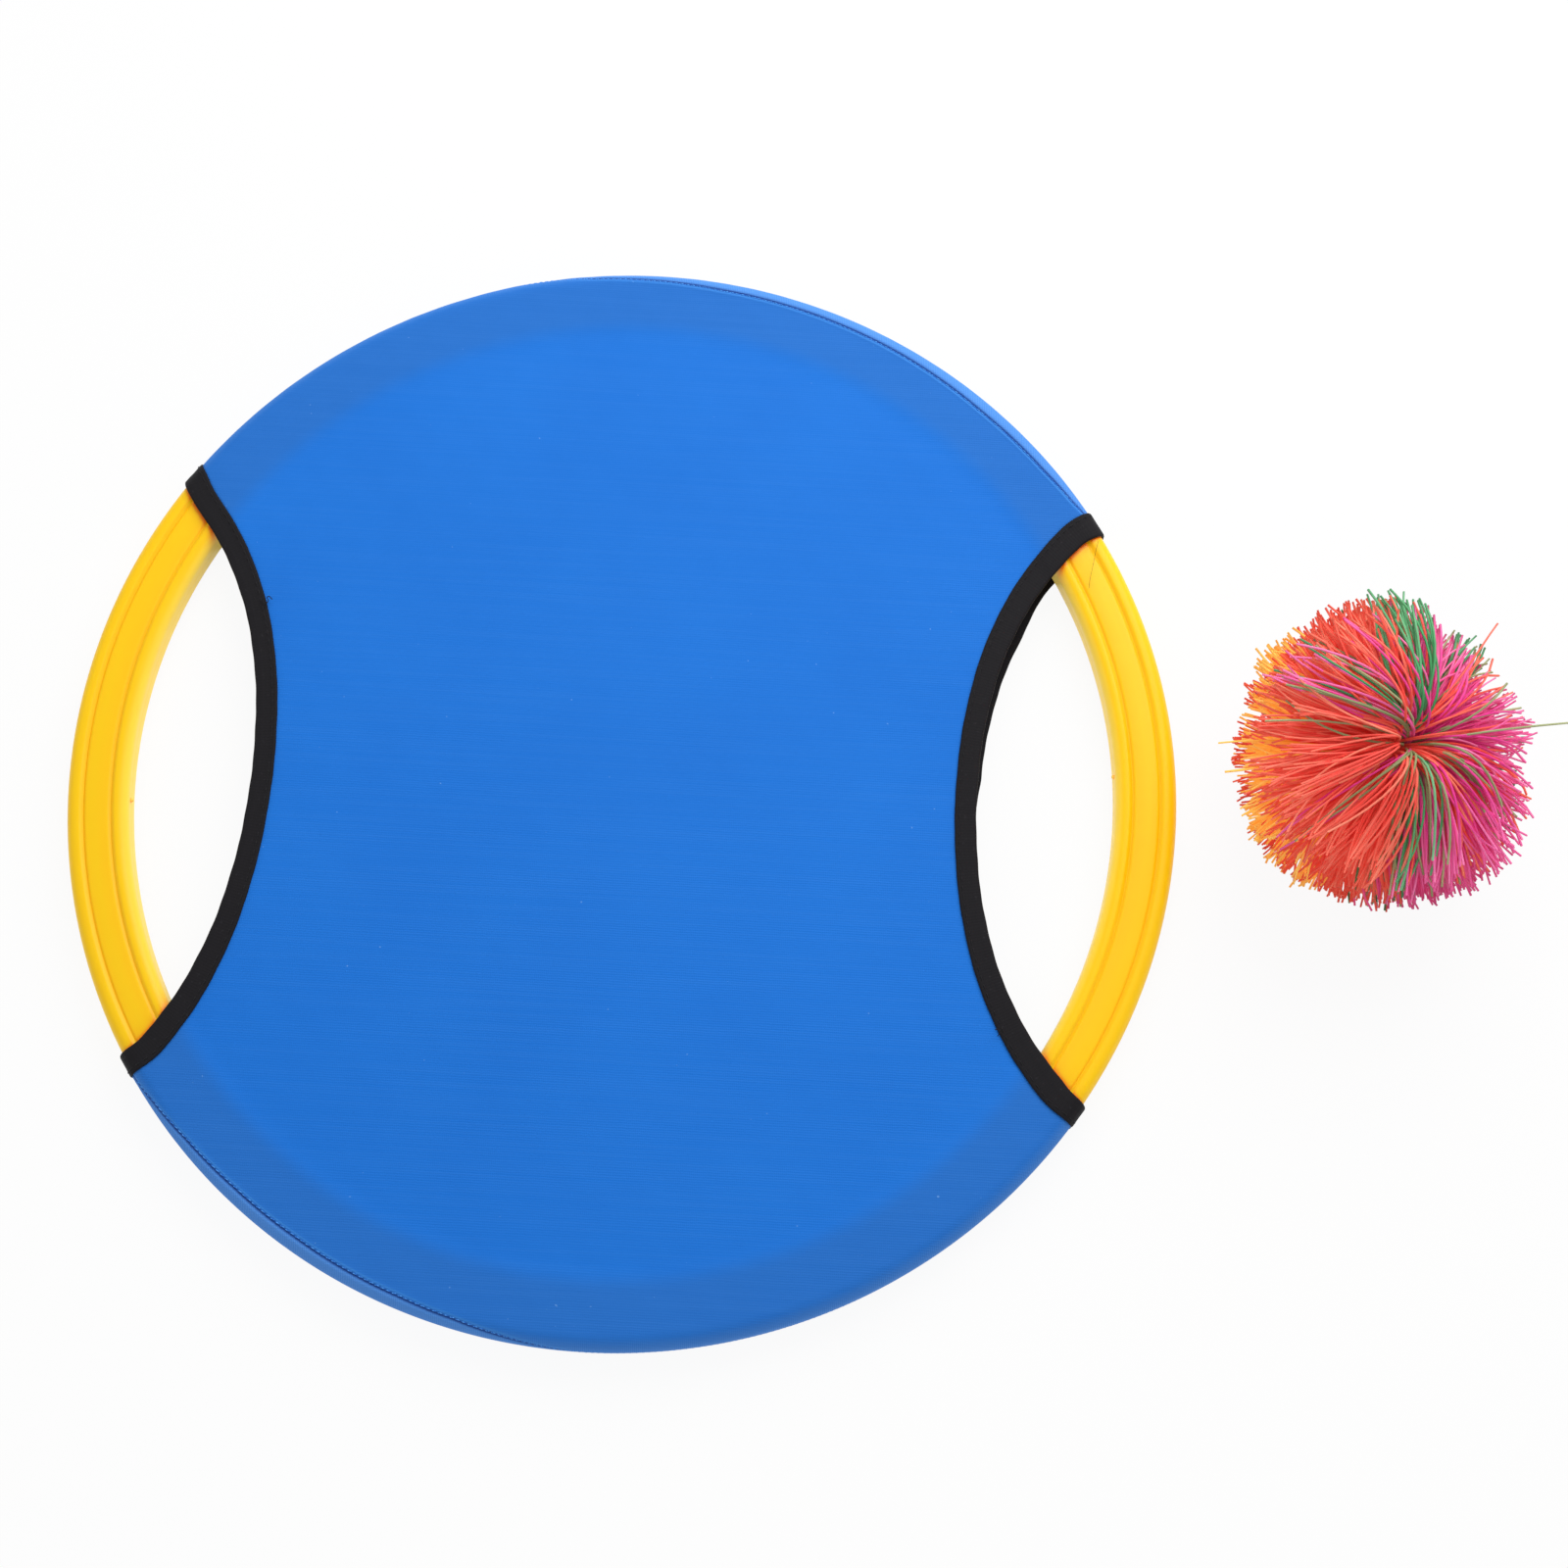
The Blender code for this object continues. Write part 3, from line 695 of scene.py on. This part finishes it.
def stitches(x, y, off, side, pitch, length, radius, skew):
    # dashes along a line on the cover: each rises out of the cloth, lies on it and goes back in, as 1 - t^4
    line = skinPoints(x, y, off, side)
    normals = unit(skinPoints(x, y, off + 0.001, side) - line)
    run = runAlong(line)
    count = int(run[-1] / pitch)
    t = np.linspace(-1, 1, 6)
    spots = (np.arange(count)[:, None] + 0.5) * pitch + t[None] * length / 2
    paths, facing = spotsOn(line, run, spots), spotsOn(normals, run, spots)
    aside = unit(np.cross(facing, np.gradient(paths, axis=1)))
    paths = paths + facing * (radius * (0.6 - 1.8 * t ** 4))[:, None] + aside * (skew * t)[:, None]
    return tubes(paths, np.full(paths.shape[:2], radius), 6, facing[:, 3])


def looseThread(places, radius):
    # a tube through the given places, on a Catmull-Rom curve
    knots = np.array(places, float)
    knots = np.concatenate([2 * knots[:1] - knots[1:2], knots, 2 * knots[-1:] - knots[-2:-1]])
    t = np.linspace(0, 1, 7)[:-1, None]
    rows = []
    for a, b, c, d in zip(knots[:-3], knots[1:-2], knots[2:-1], knots[3:]):
        square, cube = 2 * a - 5 * b + 4 * c - d, 3 * b - a - 3 * c + d
        rows.append(0.5 * (2 * b + (c - a) * t + square * t ** 2 + cube * t ** 3))
    path = np.concatenate(rows + [knots[-2:-1]])
    return tubes(path[None], np.full((1, len(path)), radius), 4, np.array([[0.13, 0.21, 0.97]]))


def joined(parts):
    # several shapes' points and faces as one
    points, faces, start = [], [], 0
    for p, f in parts:
        points.append(p)
        faces.append(f + start)
        start += len(p)
    return np.concatenate(points), np.concatenate(faces)


def seamStitches(low, high):
    # runs along the front cloth's edge, from one tape to the other
    turn = np.radians(np.linspace(low, high, 400))
    x, y = polar(turn, seamReach(turn, 1) - stitch["seamInset"]).T
    return stitches(x, y, cover["off"][1] - stitch["seamSunk"], 1, *stitch["seam"])


def tapeStitches(shape):
    parts = []
    for side in (1, -1):
        flat, across, _, half = tapeLine(shape, side)
        flat = flat + across * (half - tape["stitchInset"])[:, None]
        flat = flat[np.hypot(*flat.T) < skinEnd - stitch["clear"]]
        x, y = flat.T
        parts.append(stitches(x, y, tapeTop(flat, side) - stitch["tapeSunk"][side], side, *stitch["tape"]))
    return parts


thread = {
    # dark, light and roughness
    "blue": ((30, 104, 204), (92, 172, 250), 0.55),
    "black": ((13, 12, 15), (24, 23, 27), 0.6),
    "twistScale": 900.0,
}


def threadFinish(name, key):
    finish = Finish(name)
    dark, light, rough = thread[key]
    twist = finish.wave(finish.place(), "DIAGONAL", thread["twistScale"], 1.0, 2.0)
    return finish.surface({
        "Base Color": finish.mix(twist, dark, light),
        "Roughness": rough + twist * 0.1,
        "Specular IOR Level": 0.2,
        "Sheen Weight": 0.03,
        "Normal": finish.bump(twist, 0.4, 0.00006),
    })


seamThread = threadFinish("seamThread", "blue")
tapeThread = threadFinish("tapeThread", "black")
for key in ("top", "bottom"):
    addPiece(key + "_seam_stitches", seamStitches(*stitch[key]), seamThread, "cover",
             key + "_seam_thread")
for key in ("left", "right"):
    parts = tapeStitches(tape[key])
    parts += [looseThread(places, radius) for on, radius, places in stitch["loose"] if on == key]
    edging.append(addPiece(key + "_tape_stitches", joined(parts), tapeThread, "cover",
                           key + "_binding_thread"))
print("stitches done")


# hoop

innerWall = hoop["outer"] - hoop["width"]
firstGroove = hoop["outer"] - hoop["outerGroove"]
lastGroove = innerWall + hoop["innerGroove"]


def hoopProfile():
    # radius and height round one cross-section: face, corner, wall, corner, and the same again below.
    # face height = half the thickness, less two bell-shaped grooves and a low crown between them
    half, edge = hoop["thickness"] / 2, hoop["corner"]
    across = np.linspace(innerWall + edge, hoop["outer"] - edge, 52)
    middle, reach = (firstGroove + lastGroove) / 2, (firstGroove - lastGroove) / 2
    dip = hoop["grooveDepth"] * sum(bell(across, at, hoop["grooveHalf"]) for at in (firstGroove, lastGroove))
    between = np.clip(1 - ((across - middle) / reach) ** 2, 0, 1)
    face = half - dip - hoop["crown"] * np.where(np.abs(across - middle) < reach, 1.6 - between, 0.0)
    bend = np.linspace(np.pi / 2, 0, 12)[1:]
    outerR, outerZ = hoop["outer"] - edge + edge * np.cos(bend), half - edge + edge * np.sin(bend)
    wallZ = np.array([0.0011, 0.0004, 0.0002, 0.0, -0.0002, -0.0004, -0.0011])
    ridge = hoop["partingLine"] * bell(wallZ, 0.0, hoop["partingHalf"])
    innerR = innerWall + edge - edge * np.cos(bend)
    radius = [across, outerR, hoop["outer"] + ridge, outerR[::-1],
              across[::-1], innerR, innerWall - ridge, innerR[::-1]]
    height = [face, outerZ, wallZ, -outerZ[::-1], -face[::-1], -outerZ, wallZ[::-1], outerZ[::-1]]
    return np.concatenate(radius), np.concatenate(height)


def gateMark(degrees, size):
    # a small squared bump: a tube from inside the wall towards the hoop's middle, thinner at its end
    angle = math.radians(degrees)
    out = np.array([math.cos(angle), math.sin(angle), 0.0])
    aside = np.array([-math.sin(angle), math.cos(angle), 0.0])
    run, girth = np.array(hoop["nubGirth"]).T
    path = (out * (innerWall + hoop["nubRoot"] - run[:, None]) + [0, 0, hoop["middle"] + hoop["nubRise"]]
            + aside * size * 0.1 * run[:, None] / hoop["nubRoot"])
    return tubes(path[None], girth[None] * size, 6, np.array([[0.0, 0.0, 1.0]]))


plastic = {
    "deep": (255, 202, 6),
    "pale": (255, 209, 12),
    # painted shade in the shallow valley between the grooves
    "valleyShade": (255, 192, 2),
    # painted shade in the grooves
    "grooveShade": (255, 176, 0),
    # painted light on the inner wall, which lies in shade
    "inside": (255, 216, 64),
    "corner": (255, 120, 0),
    "faceGlow": (112, 42, 0),  # light that comes through the plastic, most of all through its walls
    "wallGlow": (255, 230, 140),
    "glow": 0.25,
    "flowScale": (420.0, 24.0),  # along a radius, and otherwise
    "grainScale": 240.0,
    "cornerReach": 0.006,
    # where the painted light and shade lie: inwards from the inner wall, outwards from the outer one, and
    # upwards
    "innerRamp": (-0.0018, 0.0016),
    "outerRamp": (-0.0014, 0.0014),
    "outerShare": 0.45,
    "upperRamp": (-0.002, 0.003),
    "valleyAt": (0.0016, 0.0022),  # where the painted shade of the valley lies: outwards from the inner groove, and half width
    "grooveHalves": (0.00045, 0.0005),
    "faceHeight": 0.0035,  # the painted shade in the grooves starts this far off the middle plane
}


def makeHoop(finish):
    radius, height = hoopProfile()
    turn = (np.arange(hoop["turnSteps"]) * math.tau / hoop["turnSteps"])[:, None]
    r = radius + sum(size * np.sin(waves * turn + shift) for size, waves, shift in hoop["wobble"])
    points = np.stack([r * np.cos(turn), r * np.sin(turn), hoop["middle"] + height + 0 * r], -1)
    points, faces = points.reshape(-1, 3), gridFaces(len(turn), len(radius), True, True)[0]
    ring = (points, faces[:, ::outwards(points, faces)])
    points, faces = joined([ring] + [gateMark(*nub) for nub in hoop["nubs"]])
    r = np.hypot(points[:, 0], points[:, 1])
    height = points[:, 2] - hoop["middle"]
    firstHalf, lastHalf = plastic["grooveHalves"]
    # where the painted shade in the grooves lies
    grooveShade = bell(r, firstGroove, firstHalf) + bell(r, lastGroove, lastHalf)
    grooveShade = grooveShade * (np.abs(height) > plastic["faceHeight"])
    middle, half = plastic["valleyAt"]
    # where the painted light on the inner and outer walls lies
    inside = ramp(innerWall - r, *plastic["innerRamp"])
    outside = ramp(r - hoop["outer"], *plastic["outerRamp"])
    values = {
        "grooveShade": np.clip(grooveShade, 0, 1),
        # painted shade in the valley
        "valleyShade": np.clip(1 - np.abs(r - lastGroove - middle) / half, 0, 1),
        # painted light on the inner wall
        "inside": inside,
        "wall": np.maximum(inside, plastic["outerShare"] * outside),
        "upper": ramp(height, *plastic["upperRamp"]) * (1 - np.clip(grooveShade * 1.5, 0, 1)),
    }
    addPiece("ribbed_hoop", (points, faces, values), finish, "hoop", "hoop")


def hoopFinish():
    finish = Finish("hoopPlastic")
    place = finish.place()
    x = finish.add("SeparateXYZ", {"Vector": place})
    y = x.other("Y")
    radial, level = plastic["flowScale"]
    radius = (x * x + y * y) ** 0.5
    flow = finish.add("CombineXYZ", {"X": radius * radial, "Y": x * level, "Z": y * level})
    flow = finish.noise(flow, 1.0, 3.0)
    grain = finish.noise(place, plastic["grainScale"], 3.0)
    # a deeper tint in the corners beside the tapes, where light comes through the plastic alone
    hidden = 1 - finish.add("AmbientOcclusion", {"Distance": plastic["cornerReach"]}, {"samples": 8}, "AO")
    return finish.surface({
        "Base Color": finish.layers(finish.mix(flow, plastic["deep"], plastic["pale"]), plastic, {
            # painted shade in the valley
            "valleyShade": finish.attribute("valleyShade") * 0.35,
            # painted shade in the grooves
            "grooveShade": finish.attribute("grooveShade") * 0.22,
            # painted light on the inner wall
            "inside": finish.attribute("inside") * 0.40,
            "corner": finish.smooth(hidden, 0.05, 0.42) * finish.attribute("upper"),
        }),
        "Roughness": 0.30 + grain * 0.12,
        "IOR": 1.49,
        "Specular IOR Level": 0.25,
        "Subsurface Weight": 0.20,
        "Subsurface Radius": (1.0, 0.70, 0.20),
        "Subsurface Scale": 0.004,
        "Emission Color": finish.mix(finish.attribute("wall"), plastic["faceGlow"], plastic["wallGlow"]),
        "Emission Strength": plastic["glow"],
        "Normal": finish.bump(flow, 0.06, 0.00015, finish.bump(grain, 0.05, 0.0003)),
    })


makeHoop(hoopFinish())
print("hoop done")


# ball

ball = {
    "radius": 0.0366,
    "axis": (0.075, -0.120, 0.990),
    "lean": (0.0020, 0.0),  # the upper half's whorl is pushed over a little
    "core": 0.0088,
    "sheetWidth": 0.0016,
    "perEnd": 1800,
    "strand": 0.00033,  # half of a strand's diagonal
    "steps": 12,
    "clumps": 190,
    "clumpHeight": (-0.35, 0.80),
    "clumpPull": 0.62,
    "poleRise": 0.50,  # sine of the latitude where the middle strands end
    "waistRise": -0.14,
    # a strand's two Bezier handles
    "climb": (0.003, 0.035, 1.1),  # height of the first at the waist, what the axis adds, and the power
    "outward": (0.0005, 0.0040),  # how far out it leans at the axis, and what the waist adds
    "droop": (136, 44, 0.7),  # degrees that the last turns down at the axis, less at the waist
    "handle": (0.024, 0.013, 0.6),  # its length in the same way
    "bow": (0.0032, 0.0012),  # how far it leans sideways, and what lying on the others adds
    "laidLift": (0.002, 0.0012),  # what that adds to the height of the first and the last
    "seed": 7,
    "floor": 0.00040,
    "squeeze": 0.0016,  # height over which strands are squeezed up where the ball rests
    # by angle: how far the tips reach as a share of the radius, how much they differ from each other,
    # and the share of the lower strands that is missing
    "outline": (
        (15, 1.02, 0.30, 0.5), (45, 0.84, 0.20, 0.4), (75, 1.02, 0.20, 0.1), (105, 1.07, 0.14, 0.0),
        (135, 1.00, 0.17, 0.0), (165, 0.99, 0.20, 0.2), (195, 1.01, 0.24, 0.3), (225, 1.05, 0.15, 0.0),
        (255, 1.05, 0.15, 0.0), (285, 1.08, 0.16, 0.0), (315, 1.13, 0.20, 0.3), (345, 1.00, 0.28, 0.5),
    ),
}

# sheets from left to right: share of the strands, turn of the fan in radians, and strands laid outside it:
# degrees from and to, how many, how far they reach, the sine of the latitude where they end, and where they
# start, from 0 at the axis to 1 at the waist. A node's first word names its rubber
sheets = {
    "orange_sheet": (0.095, 0.10, ((176, 190, 3, 1.14, 0.06, 0.8), (128, 152, 26, 1.01, 0.06, 0.95),
                                   (204, 244, 46, 1.03, -0.02, 0.95))),
    "coral_sheet_outer": (0.130, 0.05, ((150, 215, 60, 0.96, 0.20, 0.6),)),
    "coral_sheet_middle": (0.1275, 0.0, ((-6, 60, 12, 0.91, 0.25, 0.1),)),
    "coral_sheet_inner": (0.1395, 0.0, ((-70, -8, 32, 0.98, 0.22, 0.1), (50, 54, 1, 1.12, 0.30, 0.1))),
    "green_sheet_inner": (0.020, 0.0, ((128, 170, 4, 0.97, 0.30, 0.1), (82, 104, 26, 1.03, 0.32, 0.2),
                                       (44, 76, 14, 0.94, 0.20, 0.7), (-84, -66, 3, 0.98, 0.15, 0.2))),
    "olive_sheet": (0.008, 0.0, ((124, 180, 8, 0.93, 0.42, 0.1), (214, 232, 3, 0.96, 0.35, 0.1),
                                 (252, 266, 2, 0.80, 0.60, 0.1), (14, 34, 2, 0.88, 0.40, 0.1),
                                 (-48, -12, 5, 0.92, 0.30, 0.1), (40, 74, 10, 0.90, 0.25, 0.6),
                                 (-90, -60, 4, 0.99, 0.20, 0.1), (11, 13, 1, 1.26, 0.30, 0.1))),
    "magenta_sheet_inner": (0.195, 0.0, ((138, 156, 12, 0.97, 0.40, 0.1), (216, 228, 3, 1.02, 0.20, 0.1),
                                         (96, 126, 5, 0.95, 0.35, 0.1))),
    "magenta_sheet_middle": (0.150, 0.0, ()),
    "magenta_sheet_outer": (0.105, 0.0, ()),
    "green_sheet_outer": (0.030, -0.20, ()),
}


def direction(turn, height):
    # the place on a ball of radius 1 at an angle and a height
    wide = np.sqrt(1 - height ** 2)
    return np.stack([wide * np.cos(turn), wide * np.sin(turn), height], -1)


def strandPaths(rng, root, turn, rank, rise, reach, over, clumps):
    # a cubic Bezier for each strand: up along the tie's axis, over, and down to its tip, with the axis as z.
    # rank is 0 for a strand on the axis and 1 for one at the waist; over is 1 for one that lies on the others
    count = len(turn)
    aim = direction(turn, np.clip(rise, -0.4, 0.9))
    nearest = clumps[(aim @ clumps.T).argmax(1)]
    pull = (ball["clumpPull"] * rng.uniform(0.3, 1.4, count) * (1 - 0.7 * over))[:, None]
    aim = unit(aim * (1 - pull) + nearest * pull)
    tip = aim * reach[:, None]
    turn = np.arctan2(aim[:, 1], aim[:, 0])
    out, aside = direction(turn, 0 * turn), direction(turn + np.pi / 2, 0 * turn)
    up = np.array([0.0, 0.0, 1.0])
    lean = np.array([*ball["lean"], 0.0]) * (1 - rank)[:, None]
    firstLift, secondLift = ball["laidLift"]
    waist, more, power = ball["climb"]
    climb = (waist + more * (1 - rank) ** power) * (1 + rng.normal(0, 0.06, count)) + firstLift * over
    near, far = ball["outward"]
    first = root * 0.6 + up * climb[:, None] + out * (near + far * rank)[:, None] + lean * 1.6
    first = first + aside * rng.normal(0, 0.0008, count)[:, None]
    axis, less, power = ball["droop"]
    droop = np.radians(axis - less * rank ** power + rng.normal(0, 7, count))[:, None]
    axis, less, power = ball["handle"]
    handle = (axis - less * rank ** power) * (1 + rng.normal(0, 0.06, count))
    last = np.sin(droop) * out + np.cos(droop) * up
    bow = rng.normal(0, 1, count) * (ball["bow"][0] + ball["bow"][1] * over)
    second = tip - last * handle[:, None] + aside * bow[:, None] + lean + up * (secondLift * over)[:, None]
    t = np.linspace(0, 1, ball["steps"])[None, :, None]
    path = ((1 - t) ** 3 * root[:, None] + 3 * t * (1 - t) ** 2 * first[:, None]
            + 3 * t * t * (1 - t) * second[:, None] + t ** 3 * tip[:, None])
    return path, aside


def placeBall(local, centre, up):
    # turned so that its own z lies along the tie's axis, upwards or downwards, and moved to the ball's centre
    z = unit(np.array(ball["axis"]))
    x = unit(np.array([1.0, 0.0, 0.0]) - z * z[0])
    return local @ np.stack([x, np.cross(z, x), z * up]) + centre


def settle(world):
    # heights under the floor's are squeezed up above it: floor + s * log(1 + exp((height - floor) / s))
    soft = ball["squeeze"]
    world[..., 2] = ball["floor"] + soft * np.logaddexp(0, (world[..., 2] - ball["floor"]) / soft)
    return world


def makeStrands():
    rng = np.random.default_rng(ball["seed"])
    centre = np.array(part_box("ball_tie")).mean(0)
    knots = np.array(ball["outline"])
    middles = (np.arange(len(sheets)) - (len(sheets) - 1) / 2) * ball["sheetWidth"]
    chords = np.sqrt(np.clip(ball["core"] ** 2 - middles ** 2, 1e-6, None))
    built = {node: ([], [], [], []) for node in sheets}
    for up in (1, -1):
        # places that the strands' ends draw towards
        height = rng.uniform(*ball["clumpHeight"], ball["clumps"])
        clumps = direction(rng.uniform(-np.pi, np.pi, ball["clumps"]), height)
        # the fan: places spread evenly over a disc, handed out from left to right by each sheet's share
        count = ball["perEnd"]
        away, around = np.sqrt(rng.random(count)), rng.uniform(-np.pi, np.pi, count)
        order = np.argsort(away * np.cos(around))
        away, around = away[order], around[order]
        ends = np.round(np.cumsum([0] + [row[0] for row in sheets.values()]) * count).astype(int)
        for index, (node, (share, swing, laid)) in enumerate(sheets.items()):
            part = slice(ends[index], ends[index + 1])
            rank, turn = away[part], around[part] + swing
            own = len(rank)
            rise = ball["poleRise"] + (ball["waistRise"] - ball["poleRise"]) * rank ** 1.8
            rise = rise + rng.normal(0, 0.06, own)
            degrees = np.degrees(turn) % 360
            far, spread, bare = (np.interp(degrees, knots[:, 0], knots[:, i], period=360) for i in (1, 2, 3))
            kept = rng.random(own) > bare * (rank > 0.55)
            rank, turn, rise, far, spread = (v[kept] for v in (rank, turn, rise, far, spread))
            own = len(rank)
            reach = ball["radius"] * (far - spread * rng.random(own) ** 0.8)
            turn = turn + rng.normal(0, 0.10, own)
            over = np.zeros(own)
            for first, last, number, length, top, start in laid:
                # the lower half has only those that come in numbers
                if up > 0 or number > 4:
                    several = number > 1
                    turn = np.append(turn, np.radians(rng.uniform(first, last, number)))
                    rank = np.append(rank, np.clip(start + rng.uniform(-0.08, 0.10, number), 0.02, 1))
                    rise = np.append(rise, top + rng.normal(0, 0.07 * several, number))
                    varied = 1 + rng.normal(0, 0.03 * several, number)
                    reach = np.append(reach, ball["radius"] * length * varied)
                    over = np.append(over, np.full(number, float(start < 0.5)))
            x = middles[index] + rng.uniform(-0.45, 0.45, len(turn)) * ball["sheetWidth"]
            y = chords[index] * np.clip(rank * np.sin(turn), -1, 1)
            root = np.stack([x, y, 0 * x], -1)
            path, aside = strandPaths(rng, root, turn, rank, rise, reach, over, clumps)
            world = settle(placeBall(path, centre, up))
            aside = placeBall(aside, np.zeros(3), up)
            size = ball["strand"] * (1 + rng.normal(0, 0.06, len(turn)))
            taper = 1 - 0.12 * np.linspace(0, 1, ball["steps"]) ** 3
            p, f = tubes(world, size[:, None] * taper[None], 4, aside)
            points, faces, tones, alongs = built[node]
            faces.append(f + sum(len(q) for q in points))
            points.append(p)
            tones.append(np.repeat(rng.random(len(turn)), ball["steps"] * 4))
            alongs.append(np.tile(np.repeat(np.linspace(0, 1, ball["steps"]), 4), len(turn)))
    total = 0
    finishes = {key: rubberFinish(key) for key in rubber}
    for node, parts in built.items():
        points, faces, tones, alongs = (np.concatenate(part) for part in parts)
        key = node.split("_")[0]
        shape = (points, faces, {"tone": tones, "along": alongs})
        addPiece(node.replace("sheet", "strands"), shape, finishes[key], "ball", node)
        total += len(tones) // (4 * ball["steps"])
    print("ball:", total, "strands")


rubber = {
    # dark, middle and light, and the strength of a painted glow in the strands' own colour that lights the
    # shade between them
    "orange": ((255, 168, 50), (255, 190, 70), (255, 218, 120), 0.26),
    "coral": ((250, 70, 60), (255, 96, 84), (255, 144, 116), 0.13),
    "green": ((46, 134, 76), (72, 160, 98), (124, 190, 140), 0.08),
    "olive": ((122, 132, 86), (152, 160, 110), (180, 184, 134), 0.08),
    "magenta": ((224, 42, 136), (250, 70, 158), (255, 140, 190), 0.10),
}


def rubberFinish(key):
    finish = Finish(key + "Rubber")
    dark, middle, light, strength = rubber[key]
    tone, along = finish.attribute("tone"), finish.attribute("along")
    streak = finish.noise(finish.place(), 420.0)
    # tone differs at random from strand to strand; each is darker towards its root, painted shade deep in the
    # ball, and lighter towards its tip
    base = dark
    for share, shade in ((finish.smooth(tone, 0.0, 0.6), middle), (finish.smooth(tone, 0.55, 1.0), light),
                         (streak * 0.25, middle), ((1 - along) * 0.30, dark),
                         (finish.smooth(along, 0.7, 1.0) * 0.45, light)):
        base = finish.mix(share, base, shade)
    # the painted glow is dimmer towards the roots
    glow = finish.mix(0.6, base, (0, 0, 0))
    return finish.surface({
        "Base Color": base,
        "Roughness": 0.50 + streak * 0.16,
        "IOR": 1.5,
        "Specular IOR Level": 0.35,
        "Sheen Weight": 0.4,  # the powder that keeps them from sticking
        "Sheen Roughness": 0.5,
        "Sheen Tint": colour(light),
        # painted light: a glow in the strands' own colour
        "Emission Color": finish.mix(finish.smooth(along, 0.5, 0.95), glow, base),
        "Emission Strength": strength,
        "Normal": finish.bump(streak, 0.2, 0.0001),
    })


def tieFinish():
    finish = Finish("tieBand")
    grain = finish.noise(finish.place(), 600.0, 3.0)
    return finish.surface({
        "Base Color": finish.mix(grain, (126, 128, 134), (160, 162, 168)),
        "Roughness": 0.45 + grain * 0.15,
        "Normal": finish.bump(grain, 0.2, 0.0001),
    })


makeStrands()
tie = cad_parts["ball_tie"]
tie.data.materials.clear()
tie.data.materials.append(tieFinish())


# floor, light and background

stage = {
    "floorSize": 6.0,
    "floorHeight": -0.0002,
    "floorColour": (0.90, 0.90, 0.90, 1.0),
    "white": 0.92,  # how much of the floor that is seen is plain white
    "world": 0.67,
    # name, place, width and power in watts
    "lamps": (("key", (0.22, 0.48, 0.50), 0.7, 4.2), ("fill", (-0.15, -0.65, 0.95), 0.9, 0.65)),
    "lampTarget": (0.02, 0.0, 0.0),
}
plainWhite = (1.0, 1.0, 1.0, 1.0)


def makeFloor():
    mesh = bpy.data.meshes.new("floor")
    half, height = stage["floorSize"] / 2, stage["floorHeight"]
    corners = [(x, y, height) for x, y in ((-half, -half), (half, -half), (half, half), (-half, half))]
    mesh.from_pydata(corners, [], [(0, 1, 2, 3)])
    addObject("floor", mesh)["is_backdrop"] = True
    finish = Finish("paleFloor")
    matt = finish.add("BsdfDiffuse", {"Color": stage["floorColour"]})
    glow = finish.add("Emission", {"Color": plainWhite, "Strength": 1.0})
    share = finish.seen() * stage["white"]
    mesh.materials.append(finish.close(finish.add("MixShader", {0: share, 1: matt, 2: glow})))


def makeLight():
    sky = Finish("studio", world=True)
    soft = sky.add("Background", {"Color": (0.8, 0.8, 0.8, 1.0), "Strength": stage["world"]})
    white = sky.add("Background", {"Color": plainWhite, "Strength": 1.0})
    scene.world = sky.close(sky.add("MixShader", {0: sky.seen(), 1: soft, 2: white}))
    for name, place, size, power in stage["lamps"]:
        lamp = bpy.data.lights.new(name, "AREA")
        lamp.shape = "DISK"
        lamp.size = size
        lamp.energy = power
        aimed(name, lamp, place, stage["lampTarget"])


makeFloor()
makeLight()
scene.view_settings.view_transform = "Standard"
print("stage done")

bpy.context.view_layer.update()
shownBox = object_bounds()
for key, box in (("cad", cadBox), ("shown", shownBox)):
    print(key, [tuple(round(c, 4) for c in v) for v in box])
